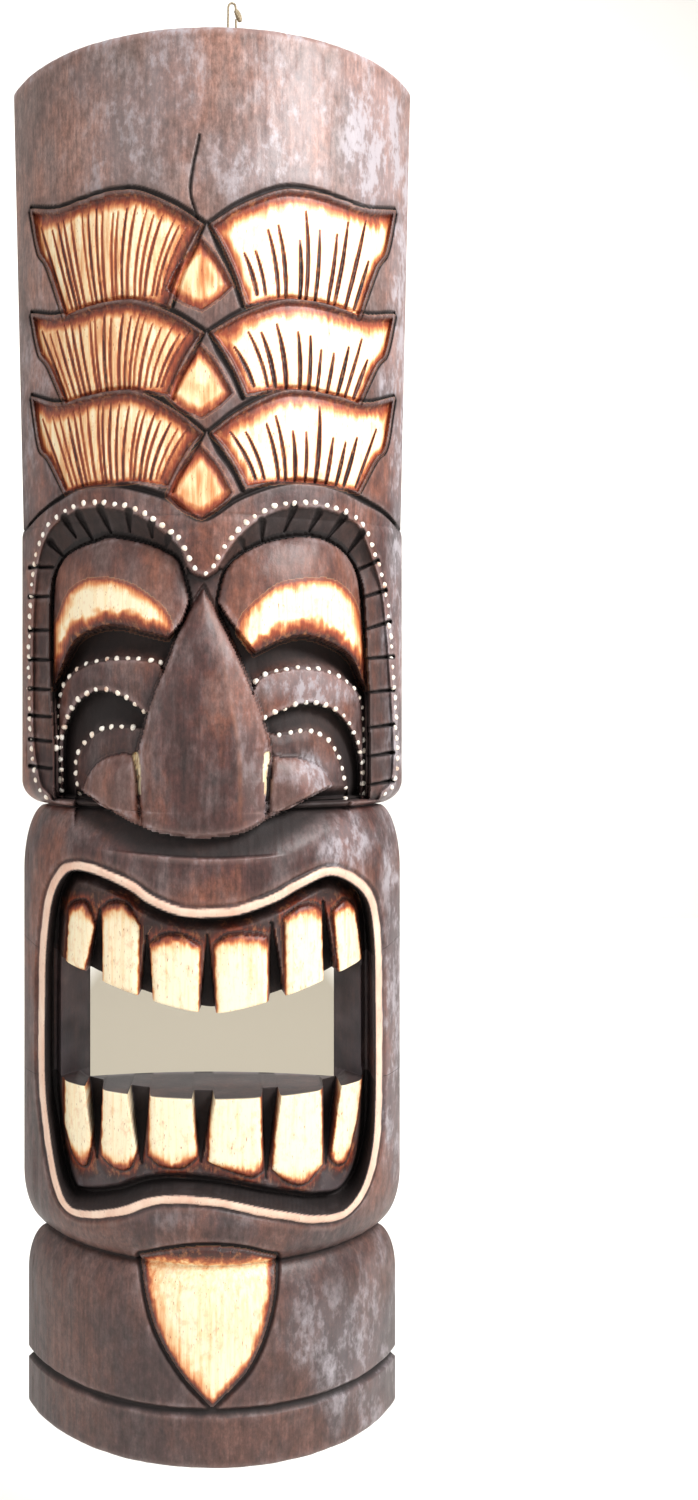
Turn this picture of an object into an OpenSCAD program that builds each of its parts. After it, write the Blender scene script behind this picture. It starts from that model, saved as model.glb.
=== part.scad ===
// Carved tiki mask: a half log with a face cut into it, hung by a twine loop from a screw eye.
// The sawn back lies in the plane Y = 0, the face looks along -Y and +Z is up.
// The origin is the centre of the sawn back. Outlines are given as [across, up] in millimetres.

/* [Log] */
// Width of the sawn back at the top of the crown
crown_top_w = 302; // [240:1:400]
// Width of the sawn back at the foot of the crown
crown_low_w = 287; // [230:1:380]
// Width of the sawn back at the block with the eyes
face_w = 289; // [230:1:380]
// Width of the sawn back at the block with the mouth
mouth_w = 286; // [230:1:380]
// Width of the sawn back at the chin and the foot
chin_w = 279; // [225:1:370]
// How far the pith of the trunk lay behind the saw cut
pith_back = 63; // [40:1:90]

/* [Heights] */
// Height of the foot below the groove
foot_h = 40; // [25:1:80]
// Height of the chin, from the groove to the mouth block
chin_h = 98; // [80:1:160]
// Height of the mouth block
mouth_h = 319; // [300:1:420]
// Height of the block with the eyes
face_h = 208; // [200:1:280]
// Height of the crown
crown_h = 335; // [300:1:460]

/* [Carving] */
// Depth of the feather and diamond pockets
feather_depth = 5; // [2:0.5:10]
// Depth of the notched band inside the brow
brow_depth = 6; // [2:0.5:10]
// Depth of the eye sockets and cheeks
socket_depth = 15; // [11:0.5:20]
// Depth of the dark crescents under the lids and between the cheek folds
fold_depth = 24; // [21:0.5:30]
// Radius of the domed eyelids
lid_r = 84; // [75:1:100]
// How far the tops of the eyelids lie below the bark side
lid_drop = 3; // [1:0.5:8]
// Depth of the gums behind the lips
gum_depth = 26; // [18:0.5:35]
// Least thickness of wood that the pockets leave at the sawn back
back_wall = 12; // [6:1:20]
// How far the teeth lie below the lips
tooth_drop = 9; // [4:0.5:14]
// How far the tongue stands out from the chin
tongue_rise = 3; // [1:0.5:5]
// Depth of the groove above the foot
groove_depth = 4; // [2:0.5:8]

/* [Paint dots] */
// Diameter of a bead of white paint
dot_d = 3.6; // [2:0.1:6]
// Distance between neighbouring beads
dot_pitch = 8; // [6:0.5:14]
// How deep a bead sits in the grain of the wood
dot_sink = 0.6; // [0.2:0.1:1]

/* [Hanger] */
// Diameter of the screw eye's wire
wire_d = 2.4; // [1.6:0.1:3]
// Diameter of the screw eye's ring, at the middle of its wire
ring_d = 13.6; // [12.6:0.1:18]
// Height of the middle of the ring's top wire above the log
pull_h = 21; // [18:0.5:28]
// Diameter over the thread
thread_d = 3.2; // [2.4:0.1:5]
// Length of thread in the wood
thread_l = 26; // [15:1:40]
// How far the screw eye stands to the right of the middle
eye_x = 15; // [-40:1:40]
// Distance of the screw eye from the sawn back
eye_in = 12; // [8:1:25]
// Diameter of the twine
twine_d = 1.6; // [1.2:0.1:1.8]
// Diameter of the knot
knot_d = 4.4; // [4:0.1:6]
// Length of the knot
knot_l = 9.5; // [8:0.5:14]

/* [Hidden] */
$fn = 96;
eps = 0.01;

// Levels of the blocks above the foot, and radii of the trunk about its pith
chin_z = foot_h;
mouth_z = chin_z + chin_h;
face_z = mouth_z + mouth_h;
crown_z = face_z + face_h;
log_h = crown_z + crown_h;
function trunk_r(width) = sqrt(pow(width / 2, 2) + pow(pith_back, 2));
crown_top_r = trunk_r(crown_top_w);
crown_low_r = trunk_r(crown_low_w);
face_r = trunk_r(face_w);
mouth_r = trunk_r(mouth_w);
chin_r = trunk_r(chin_w);
widest_r = max(crown_top_r, crown_low_r, face_r, mouth_r, chin_r);

// Width of the blocks that the outlines are drawn for: an outline widens with its block
drawn_w = 288;
function fit(points, width) = [for (p = points) [p[0] * width / drawn_w, p[1]]];

// An outline together with its mirror image on the other side of mid
function mirrored(points, mid) = [for (p = points) [2 * mid - p[0], p[1]]];
function pair(points, mid) = [points, mirrored(points, mid)];

// Corner of a block's profile: a quarter ellipse that goes in by depth and along by rise
corner_steps = 6;
function corner_in(r, z, depth, rise) =
    [for (i = [0:corner_steps]) let (a = 90 * i / corner_steps)
        [r - depth * (1 - sin(a)), z + rise * (1 - cos(a))]];
function corner_out(r, z, depth, rise) =
    [for (i = [corner_steps:-1:0]) let (a = 90 * i / corner_steps)
        [r - depth * (1 - sin(a)), z - rise * (1 - cos(a))]];

// Distance along a line of points, and the point at a given distance along it
function run(points, i) = i == 0 ? 0 : run(points, i - 1) + norm(points[i] - points[i - 1]);
function leg_at(runs, s, i) = i >= len(runs) - 2 || runs[i + 1] >= s ? i : leg_at(runs, s, i + 1);
function point_at(points, runs, s) =
    let (i = leg_at(runs, s, 0), t = (s - runs[i]) / (runs[i + 1] - runs[i]))
    points[i] * (1 - t) + points[i + 1] * t;
function spaced(points, pitch) =
    let (runs = [for (i = [0:len(points) - 1]) run(points, i)],
         total = runs[len(runs) - 1],
         count = floor(total / pitch))
    [for (i = [0:count]) point_at(points, runs, total * i / count)];

// Feathers: one outline from the inner tip, repeated in rows. Each row gives the height of its
// tip above the crown's foot, and how much of the outline's drop below the tip it keeps
feather_rows = [[197, 1], [124, 0.8], [54, 0.64]];
feather_mid = -4;
feather = [[3, 0], [12, 9], [24, 17], [50, 27], [72, 30], [96, 28], [118, 30], [139, 38],
           [131, 5], [118, -18], [108, -37], [96, -46], [50, -50], [36, -52], [30, -40],
           [22, -22], [14, -8]];
diamond = [[-6, 2], [0, -8], [10, -18], [20, -34], [8, -46], [-6, -52], [-20, -47], [-30, -38],
           [-20, -16], [-12, -8]];

// Brow line across the top of the eye block, from side to side; heights are from its foot
brow_line = [[-142, 207], [-127, 217], [-110, 225], [-94, 230], [-72, 231], [-50, 226],
             [-29, 218], [-7, 205], [19, 219], [47, 230], [69, 233], [91, 230], [111, 223],
             [128, 217], [142, 208]];
brow_line_w = 4;
brow_line_depth = 4;

// Right half of the face, mirrored about face_mid; heights are from the eye block's foot
face_mid = -2;
brow_edge = [[2, 168], [9, 182], [20, 196], [35, 208], [52, 215], [64, 217], [75, 217],
             [90, 215], [101, 212], [110, 205], [118, 190], [125, 172], [130, 150],
             [134, 120], [136, 90], [137, 60], [137, 35], [135, 20]];
socket = [[-5, 148], [9, 168], [25, 182], [44, 191], [72, 195], [91, 191], [105, 180],
          [112, 163], [115, 130], [116, 86], [116, 10], [30, 10]];
lid = [[12, 156], [11, 168], [25, 181], [46, 190], [72, 194], [91, 190], [105, 179],
       [111, 163], [114, 138], [116, 90], [111, 95], [103, 109], [87, 119], [68, 124],
       [50, 120], [32, 112], [22, 118], [20, 130]];
fold_a = [[20, 112], [32, 106], [50, 115], [68, 119], [87, 114], [102, 104], [112, 89],
          [110, 84], [101, 95], [87, 102], [68, 105], [47, 102], [30, 98]];
fold_b = [[42, 90], [59, 94], [77, 94], [92, 88], [104, 78], [110, 65], [113, 48], [108, 54],
          [100, 66], [88, 76], [76, 80], [64, 80], [46, 74]];
fold_c = [[50, 68], [62, 72], [76, 72], [87, 68], [96, 60], [103, 49], [108, 35], [110, 13],
          [103, 13], [100, 28], [95, 43], [88, 52], [76, 60], [64, 61], [52, 59]];
cheek_arcs = [
    [[36, 96], [48, 101], [60, 102], [74, 102], [88, 99], [100, 92]],
    [[42, 69], [54, 75], [68, 77], [78, 77], [88, 73], [98, 65], [105, 54]],
    [[52, 56], [66, 57], [75, 56], [86, 50], [93, 40], [97, 27], [100, 14]]];
nose = [[-6, 158], [-15, 144], [-24, 127], [-33, 103], [-43, 79], [-50, 54], [-52, 41],
        [-65, 42], [-80, 36], [-91, 25], [-95, 14], [-80, 4], [-58, -7], [-36, -13], [-8, -16],
        [20, -13], [41, -4], [62, 6], [88, 18], [77, 32], [62, 38], [48, 39], [40, 47],
        [35, 68], [23, 99], [12, 124], [2, 144]];
nose_ridge_x = 8;
nose_slope = 26;
lid_mid = [66, 150];

// Mouth; heights are from the mouth block's foot
lip = [[-96, 274], [-109, 265], [-115, 246], [-119, 216], [-120, 179], [-120, 120], [-115, 78],
       [-107, 45], [-91, 37], [-57, 46], [-22, 56], [6, 55], [47, 44], [76, 36], [99, 40],
       [111, 57], [118, 92], [120, 180], [119, 224], [111, 250], [95, 267], [80, 268],
       [54, 259], [35, 249], [12, 245], [-8, 244], [-29, 248], [-50, 259], [-72, 270]];
upper_teeth = [
    [[-109, 206], [-106, 246], [-100, 251], [-88, 251], [-83, 232], [-92, 203]],
    [[-81, 200], [-80, 250], [-70, 254], [-60, 253], [-51, 238], [-51, 190]],
    [[-44, 187], [-45, 228], [-34, 233], [-20, 233], [-8, 226], [-8, 179]],
    [[1, 179], [1, 227], [12, 234], [30, 234], [40, 233], [41, 187]],
    [[50, 190], [51, 245], [62, 252], [76, 252], [80, 246], [81, 199]],
    [[91, 200], [88, 247], [97, 253], [104, 246], [109, 225], [111, 205]]];
lower_teeth = [
    [[-110, 119], [-109, 85], [-101, 62], [-90, 60], [-86, 90], [-91, 113]],
    [[-80, 115], [-81, 70], [-70, 62], [-58, 64], [-50, 84], [-55, 117]],
    [[-46, 119], [-46, 75], [-36, 68], [-20, 68], [-9, 77], [-9, 120]],
    [[-4, 119], [-5, 73], [10, 67], [28, 61], [36, 63], [36, 118]],
    [[44, 117], [42, 64], [54, 54], [68, 52], [79, 62], [80, 112]],
    [[90, 109], [84, 64], [90, 60], [99, 62], [108, 90], [112, 118]]];
gap_low = 118;
gap_high = 177;
gap_front_x = 119;
gap_back_x = 93;
gap_arch = [[-92, gap_high - eps], [92, gap_high - eps], [92, 207], [60, 196], [30, 189],
            [0, 182], [-30, 189], [-60, 196], [-92, 207]];

// Tongue; heights are from the chin's foot
tongue = [[-50, 103], [-30, 110], [-8, 114], [19, 112], [44, 103], [42, 78], [35, 51],
          [23, 28], [0, 5], [-19, 25], [-36, 51], [-45, 78]];

// Route of the twine: [across, up] from the middle of the ring's top wire, knot to knot
twine_route = [[3.5, 30], [3.5, 26], [3.5, 22], [3.5, 18], [3.5, 14], [3.5, 10], [3.5, 6],
               [3.5, 3], [3.5, 1.2], [3.2, -0.1], [2.5, -1.3], [1.3, -2], [0, -2.3], [-1.3, -2],
               [-2.5, -1.3], [-3.2, -0.1], [-3.5, 1.2], [-3.5, 3], [-3.5, 7], [-3.5, 11],
               [-3.5, 15], [-3.5, 19], [-3.5, 23], [-3.5, 27], [-3.5, 31], [-3.5, 35],
               [-3.5, 38], [-3.5, 40], [-3.2, 41.3], [-2.5, 42.5], [-1.3, 43.2], [0, 43.5],
               [1.3, 43.2], [2.5, 42.5], [3.2, 41.3], [3.5, 40], [3.5, 37]];
knot_low = 29;
twine_sides = 8;

// Moves a piece from heights above the foot to the origin at the middle of the back
module hung() {
    translate([0, 0, -log_h / 2]) children();
}

// Round trunk about the pith, over the whole height
module trunk(r) {
    translate([0, pith_back, -eps]) cylinder(r = r, h = log_h + 2 * eps, $fn = 180);
}

// Flat outline carried from just behind the back through the front, standing on level z
module through(z) {
    translate([0, 1, z]) rotate([90, 0, 0]) linear_extrude(height = 2 * widest_r) children();
}

// Pocket with its floor at a given depth below a trunk of radius r, and never through the back
module pocket(points, z, width, r, depth) {
    difference() {
        translate([0, -back_wall - 1, 0]) through(z) polygon(fit(points, width));
        trunk(r - depth);
    }
}

// Raised island whose top lies at radius r
module island(points, z, width, r) {
    intersection() {
        through(z) polygon(fit(points, width));
        trunk(r);
    }
}

// A solid together with its mirror image on the other side of mid
module both(mid) {
    children();
    translate([2 * mid, 0, 0]) mirror([1, 0, 0]) children();
}

// Half log with its blocks shaped: one profile turned about the pith, then sawn flat
module blank() {
    foot_top = [[chin_r, chin_z - groove_depth], [chin_r - groove_depth, chin_z]];
    profile = concat(
        [[0, 0]],
        corner_in(chin_r, 0, 10, 8),
        foot_top,
        [[chin_r, chin_z + groove_depth]],
        corner_out(chin_r, mouth_z, 15, 34),
        corner_in(mouth_r, mouth_z, 19, 42),
        corner_out(mouth_r, face_z, 16, 50),
        corner_in(face_r, face_z, 19, 18),
        [[face_r, crown_z], [crown_low_r, crown_z]],
        corner_out(crown_top_r, log_h, 6, 5),
        [[0, log_h]]);
    intersection() {
        translate([0, pith_back, 0]) rotate_extrude($fn = 180) polygon(profile);
        translate([-widest_r, -2 * widest_r, -eps])
            cube([2 * widest_r, 2 * widest_r, log_h + 2 * eps]);
    }
}

// Three rows of feathers on the crown, with a diamond between each pair
module crown_pockets() {
    for (row = feather_rows) {
        outline = [for (p = feather) [p[0], p[1] < 0 ? p[1] * row[1] : p[1]]];
        for (half = pair(outline, feather_mid))
            pocket(half, crown_z + row[0], crown_low_w, crown_low_r, feather_depth);
        pocket(diamond, crown_z + row[0], crown_low_w, crown_low_r, feather_depth - 1);
    }
}

// Groove that parts the brow from the crown
module brow_groove() {
    upper = [for (i = [len(brow_line) - 1:-1:0]) brow_line[i] + [0, brow_line_w]];
    pocket(concat(brow_line, upper), face_z, face_w, crown_low_r, brow_line_depth);
}

// Notched brow bands, sockets and the crescents under the lids and in the cheeks
module face_pockets() {
    band = concat(brow_edge, [[124, 8], [30, 8]]);
    for (half = pair(band, face_mid)) pocket(half, face_z, face_w, face_r, brow_depth);
    for (half = pair(socket, face_mid)) pocket(half, face_z, face_w, face_r, socket_depth);
    for (fold = [fold_a, fold_b, fold_c], half = pair(fold, face_mid))
        pocket(half, face_z, face_w, face_r, fold_depth);
}

// Domed eyelids, cut to their outline
module lids() {
    angle = asin(lid_mid[0] / face_r);
    both(face_mid * face_w / drawn_w)
        intersection() {
            through(face_z) polygon(fit(lid, face_w));
            translate([0, pith_back, face_z + lid_mid[1]])
                rotate([0, 0, angle])
                translate([0, lid_r + lid_drop - face_r, 0])
                sphere(r = lid_r, $fn = 120);
        }
}

// Nose and nostrils at the bark side, with a flank that falls away on each side of the ridge
module nose_block() {
    flank = 2 * face_w;
    ridge_y = pith_back - face_r;
    difference() {
        island(nose, face_z, face_w, face_r);
        for (side = [-1, 1])
            translate([nose_ridge_x, ridge_y, face_z])
                rotate([-2, 0, side * nose_slope])
                translate([side > 0 ? 0 : -flank, -flank, 0])
                cube([flank, flank, face_h]);
    }
}

// Gums, and the gap between the teeth that goes through to the wall and widens towards the front
module mouth_pockets() {
    k = mouth_w / drawn_w;
    front = 2 * mouth_r;
    slope = (gap_front_x - gap_back_x) / (mouth_r - pith_back);
    back_x = gap_back_x * k;
    front_x = (gap_back_x + slope * front) * k;
    pocket(lip, mouth_z, mouth_w, mouth_r, gum_depth);
    translate([0, 0, mouth_z + gap_low])
        linear_extrude(height = gap_high - gap_low)
        polygon([[-back_x, eps], [back_x, eps], [front_x, -front], [-front_x, -front]]);
    through(mouth_z) polygon(fit(gap_arch, mouth_w));
}

module teeth() {
    for (tooth = concat(upper_teeth, lower_teeth))
        island(tooth, mouth_z, mouth_w, mouth_r - tooth_drop);
}

module carved_log() {
    color("#4a3430") hung() difference() {
        union() {
            difference() {
                blank();
                crown_pockets();
                brow_groove();
                face_pockets();
                mouth_pockets();
            }
            lids();
            nose_block();
            intersection() {
                teeth();
                blank();
            }
            island(tongue, chin_z, chin_w, chin_r + tongue_rise);
        }
        translate([-widest_r, 0, -eps]) cube([2 * widest_r, 2 * widest_r, log_h + 1]);
        translate([eye_x, -eye_in, log_h - thread_l]) cylinder(d = thread_d, h = thread_l + 1);
    }
}

// Screw eye: a ring of wire across the log's thickness, on a shank that screws into the top
module screw_eye() {
    ring_z = pull_h - ring_d / 2;
    color("#8c8a86") hung() translate([eye_x, -eye_in, log_h]) {
        translate([0, 0, ring_z]) rotate([0, 90, 0])
            rotate_extrude($fn = 72) translate([ring_d / 2, 0]) circle(d = wire_d, $fn = 36);
        cylinder(d = wire_d, h = ring_z - ring_d / 2);
        translate([0, 0, -thread_l + thread_d]) cylinder(d = thread_d, h = thread_l - thread_d);
        translate([0, 0, -thread_l]) cylinder(d1 = 0.4, d2 = thread_d, h = thread_d);
    }
}

// Tube swept along points that lie in one upright plane, with its rings square to the route
module tube(route, d, sides) {
    last = len(route) - 1;
    function ahead(i) =
        let (t = route[min(i + 1, last)] - route[max(i - 1, 0)]) t / norm(t);
    ring_points = [for (i = [0:last]) for (j = [0:sides - 1])
        let (t = ahead(i), a = 360 * j / sides, r = d / 2)
        [route[i][0] - t[1] * r * cos(a), r * sin(a), route[i][1] + t[0] * r * cos(a)]];
    walls = [for (i = [0:last - 1]) for (j = [0:sides - 1])
        let (k = (j + 1) % sides)
        [i * sides + j, i * sides + k, (i + 1) * sides + k, (i + 1) * sides + j]];
    first_cap = [for (j = [sides - 1:-1:0]) j];
    last_cap = [for (j = [0:sides - 1]) last * sides + j];
    polyhedron(points = ring_points, faces = concat([first_cap], walls, [last_cap]));
}

module twine_loop() {
    color("#a89878") hung() translate([eye_x, -eye_in, log_h + pull_h])
        tube(twine_route, twine_d, twine_sides);
}

module twine_knot() {
    cap = knot_d / 2;
    color("#a89878") hung()
        translate([eye_x + twine_route[0][0], -eye_in, log_h + pull_h + knot_low]) {
            translate([0, 0, cap]) sphere(r = cap, $fn = 48);
            translate([0, 0, cap]) cylinder(r = cap, h = knot_l - 2 * cap, $fn = 48);
            translate([0, 0, knot_l - cap]) sphere(r = cap, $fn = 48);
        }
}

// Beads of paint along a line: those below level top sit on a trunk of radius low_r, those
// above it on one of radius high_r
module beads(points, z, width, low_r, top, high_r) {
    for (p = spaced(fit(points, width), dot_pitch)) {
        r = (p[1] < top ? low_r : high_r) - dot_sink;
        translate([p[0], pith_back - sqrt(pow(r, 2) - pow(p[0], 2)), z + p[1]])
            sphere(d = dot_d, $fn = 24);
    }
}

module brow_dots() {
    edge = [for (p = brow_edge) p + [1, 2]];
    color("#f4efe6") hung()
        for (line = pair(edge, face_mid))
            beads(line, face_z, face_w, face_r, face_h, crown_low_r);
}

// Beads on the folds of one cheek, on the floor of the socket
module cheek_beads(arcs) {
    floor_r = face_r - socket_depth;
    for (arc = arcs) beads(arc, face_z, face_w, floor_r, face_h, floor_r);
}

module left_cheek_dots() {
    color("#f4efe6") hung() cheek_beads([for (arc = cheek_arcs) mirrored(arc, face_mid)]);
}

module right_cheek_dots() {
    color("#f4efe6") hung() cheek_beads(cheek_arcs);
}

carved_log();
screw_eye();
twine_loop();
twine_knot();
brow_dots();
left_cheek_dots();
right_cheek_dots();
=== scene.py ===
import math

import bpy
import numpy as np
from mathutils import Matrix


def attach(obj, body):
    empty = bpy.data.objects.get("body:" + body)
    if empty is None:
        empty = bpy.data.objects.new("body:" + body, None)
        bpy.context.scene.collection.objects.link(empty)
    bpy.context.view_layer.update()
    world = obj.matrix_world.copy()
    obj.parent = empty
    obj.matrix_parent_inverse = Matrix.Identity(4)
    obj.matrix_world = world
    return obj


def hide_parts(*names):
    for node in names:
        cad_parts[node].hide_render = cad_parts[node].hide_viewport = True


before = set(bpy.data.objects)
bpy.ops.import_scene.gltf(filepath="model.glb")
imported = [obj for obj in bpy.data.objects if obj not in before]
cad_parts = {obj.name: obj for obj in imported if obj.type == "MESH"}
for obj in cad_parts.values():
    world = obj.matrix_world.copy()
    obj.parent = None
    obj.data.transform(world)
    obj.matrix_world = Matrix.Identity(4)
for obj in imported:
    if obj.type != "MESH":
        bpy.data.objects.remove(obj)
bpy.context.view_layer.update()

bl_info = {
    "name": "Carved tiki mask",
    "version": (1, 0, 0),
    "blender": (4, 5, 0),
    "location": "3D View > Sidebar > Tiki mask",
    "description": "Builds a carved half-log tiki mask with its paint beads and hanging twine",
    "category": "Object",
}

# Sizes below are in millimetres: x across from the middle, z up from the foot of the log.
LOG_H = 1000.0
PITH_BACK = 63.0          # the pith of the trunk lay this far behind the saw cut
GROOVE_Z, MOUTH_Z, FACE_Z, CROWN_Z = 40.0, 138.0, 457.0, 665.0
BACK_WALL = 8.0           # least thickness of wood left behind a carving
HOLE_X = 93.0             # half width of the mouth's hole at the sawn back
LIP_X = 119.5             # half width inside the lips, where the hole's side walls start
LIP_DEPTH = 36.5          # depth of the hole's side walls where they start
SILL_Z, ARCH_Z = 256.5, 316.0             # lower edge of the hole, and upper edge at its middle
SLICE_Z = (150, 256, 290, 690, 905)       # level rows that part the blocks of the grid


def trunk(width):
    """Radius of the trunk whose sawn back is this wide."""
    return math.hypot(width / 2, PITH_BACK)


# Radii of the blocks from the widths of their sawn backs
R_TOP, R_CROWN, R_FACE, R_MOUTH, R_CHIN = map(trunk, (302, 287, 289, 286, 279))
WEDGE_Z = 640             # brow notches that start above this are wedges, the rest are rungs


# ---------------------------------------------------------------- curves and distances

def smooth(t):
    """Eased step: 0 below 0, 1 above 1, and 3t^2 - 2t^3 between."""
    t = np.clip(t, 0, 1)
    return t * t * (3 - 2 * t)


def quarter(t):
    """Quarter circle: rises steeply from 0 and is level at 1."""
    t = 1 - np.clip(t, 0, 1)
    return np.sqrt(np.maximum(0, 1 - t * t))


def curve(points, steps=6, closed=False):
    """Catmull-Rom curve: a cubic through the points whose slope at each is half the step
    from the point before to the point after."""
    p = np.asarray(points, float)
    ends = (p[-1:], p[:2]) if closed else (2 * p[:1] - p[1:2], 2 * p[-1:] - p[-2:-1])
    q = np.concatenate([ends[0], p, ends[1]])
    a, b, c, d = (q[k:len(q) - 3 + k, None, :] for k in range(4))
    t = np.linspace(0, 1, steps, endpoint=False)[None, :, None]
    out = 0.5 * (2 * b + (c - a) * t + (2 * a - 5 * b + 4 * c - d) * t**2
                 + (3 * b - a - 3 * c + d) * t**3)
    out = out.reshape(-1, 2)
    return out if closed else np.vstack([out, p[-1]])


def joined(*lines):
    """One closed outline from lines that follow on from each other."""
    return np.vstack([curve(line) if len(line) > 2 else np.asarray(line, float)
                      for line in lines])


def measure(x, z, line, reach, closed=False):
    """Distance of each point from a line of points, negative inside a closed one, and the
    place along it from 0 to 1. Past reach the distance is reach and isn't worked out."""
    line = np.asarray(line, float)
    if closed:
        line = np.vstack([line, line[:1]])
    low, high = line.min(0) - reach, line.max(0) + reach
    near = (x > low[0]) & (x < high[0]) & (z > low[1]) & (z < high[1])
    px, pz = x[near], z[near]
    best, place, inside = np.full(px.shape, reach**2), np.zeros(px.shape), np.zeros(px.shape, bool)
    legs = np.diff(line, axis=0)
    lengths = np.hypot(*legs.T)
    runs = np.concatenate([[0], np.cumsum(lengths)])
    for (ax, az), (dx, dz), size, start in zip(line, legs, lengths, runs):
        if size < 1e-9:
            continue
        t = np.clip(((px - ax) * dx + (pz - az) * dz) / size**2, 0, 1)
        far = (px - ax - t * dx) ** 2 + (pz - az - t * dz) ** 2
        nearer = far < best
        best[nearer] = far[nearer]
        place[nearer] = (start + t[nearer] * size) / runs[-1]
        if closed and dz:
            inside ^= ((az > pz) != (az + dz > pz)) & (px < ax + dx * (pz - az) / dz)
    best = np.sqrt(best)
    d, u = np.full(x.shape, float(reach)), np.zeros(x.shape)
    d[near] = np.where(inside, -best, best)
    u[near] = place
    return d, u


def lumps(x, z, wide, tall, seed):
    """Random hills about 1 high and wide by tall across: random heights on a lattice,
    joined by eased steps."""
    rng = np.random.default_rng(seed)
    heights = rng.uniform(-1, 1, (int(1100 / tall) + 3, int(400 / wide) + 3))
    u, v = (x + 180) / wide, (z + 40) / tall
    i, j = np.floor(u).astype(int), np.floor(v).astype(int)
    a, b = smooth(u - i), smooth(v - j)
    low = heights[j, i] * (1 - a) + heights[j, i + 1] * a
    high = heights[j + 1, i] * (1 - a) + heights[j + 1, i + 1] * a
    return low * (1 - b) + high * b


# ---------------------------------------------------------------- the half log

def corner(along, depth, rise):
    """Quarter ellipse at a block's end: how far the wood draws in at a distance along."""
    return depth * (1 - quarter(along / rise))


def profile(z):
    """Radius of the log about its pith at each height, block by block."""
    foot = R_CHIN - corner(z, 3.5, 5) - np.maximum(0, 4 - np.abs(z - GROOVE_Z))
    chin = foot - corner(MOUTH_Z - z, 15, 34)
    mouth = R_MOUTH - corner(z - MOUTH_Z, 19, 42) - corner(FACE_Z - z, 16, 50)
    face = R_FACE - corner(z - FACE_Z, 19, 18) - corner(CROWN_Z - z, 2.5, 7)
    crown = (R_CROWN + (R_TOP - R_CROWN) * (z - CROWN_Z) / (LOG_H - CROWN_Z)
             - corner(LOG_H - z, 6, 5))
    return np.select([z < MOUTH_Z, z < FACE_Z, z < CROWN_Z], [chin, mouth, face], crown)


def arch(x):
    """Height of the upper teeth's lower edge: lowest in the middle, rising to the sides."""
    return ARCH_Z + 28.5 * (np.abs(x) / 109) ** 1.35


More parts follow.
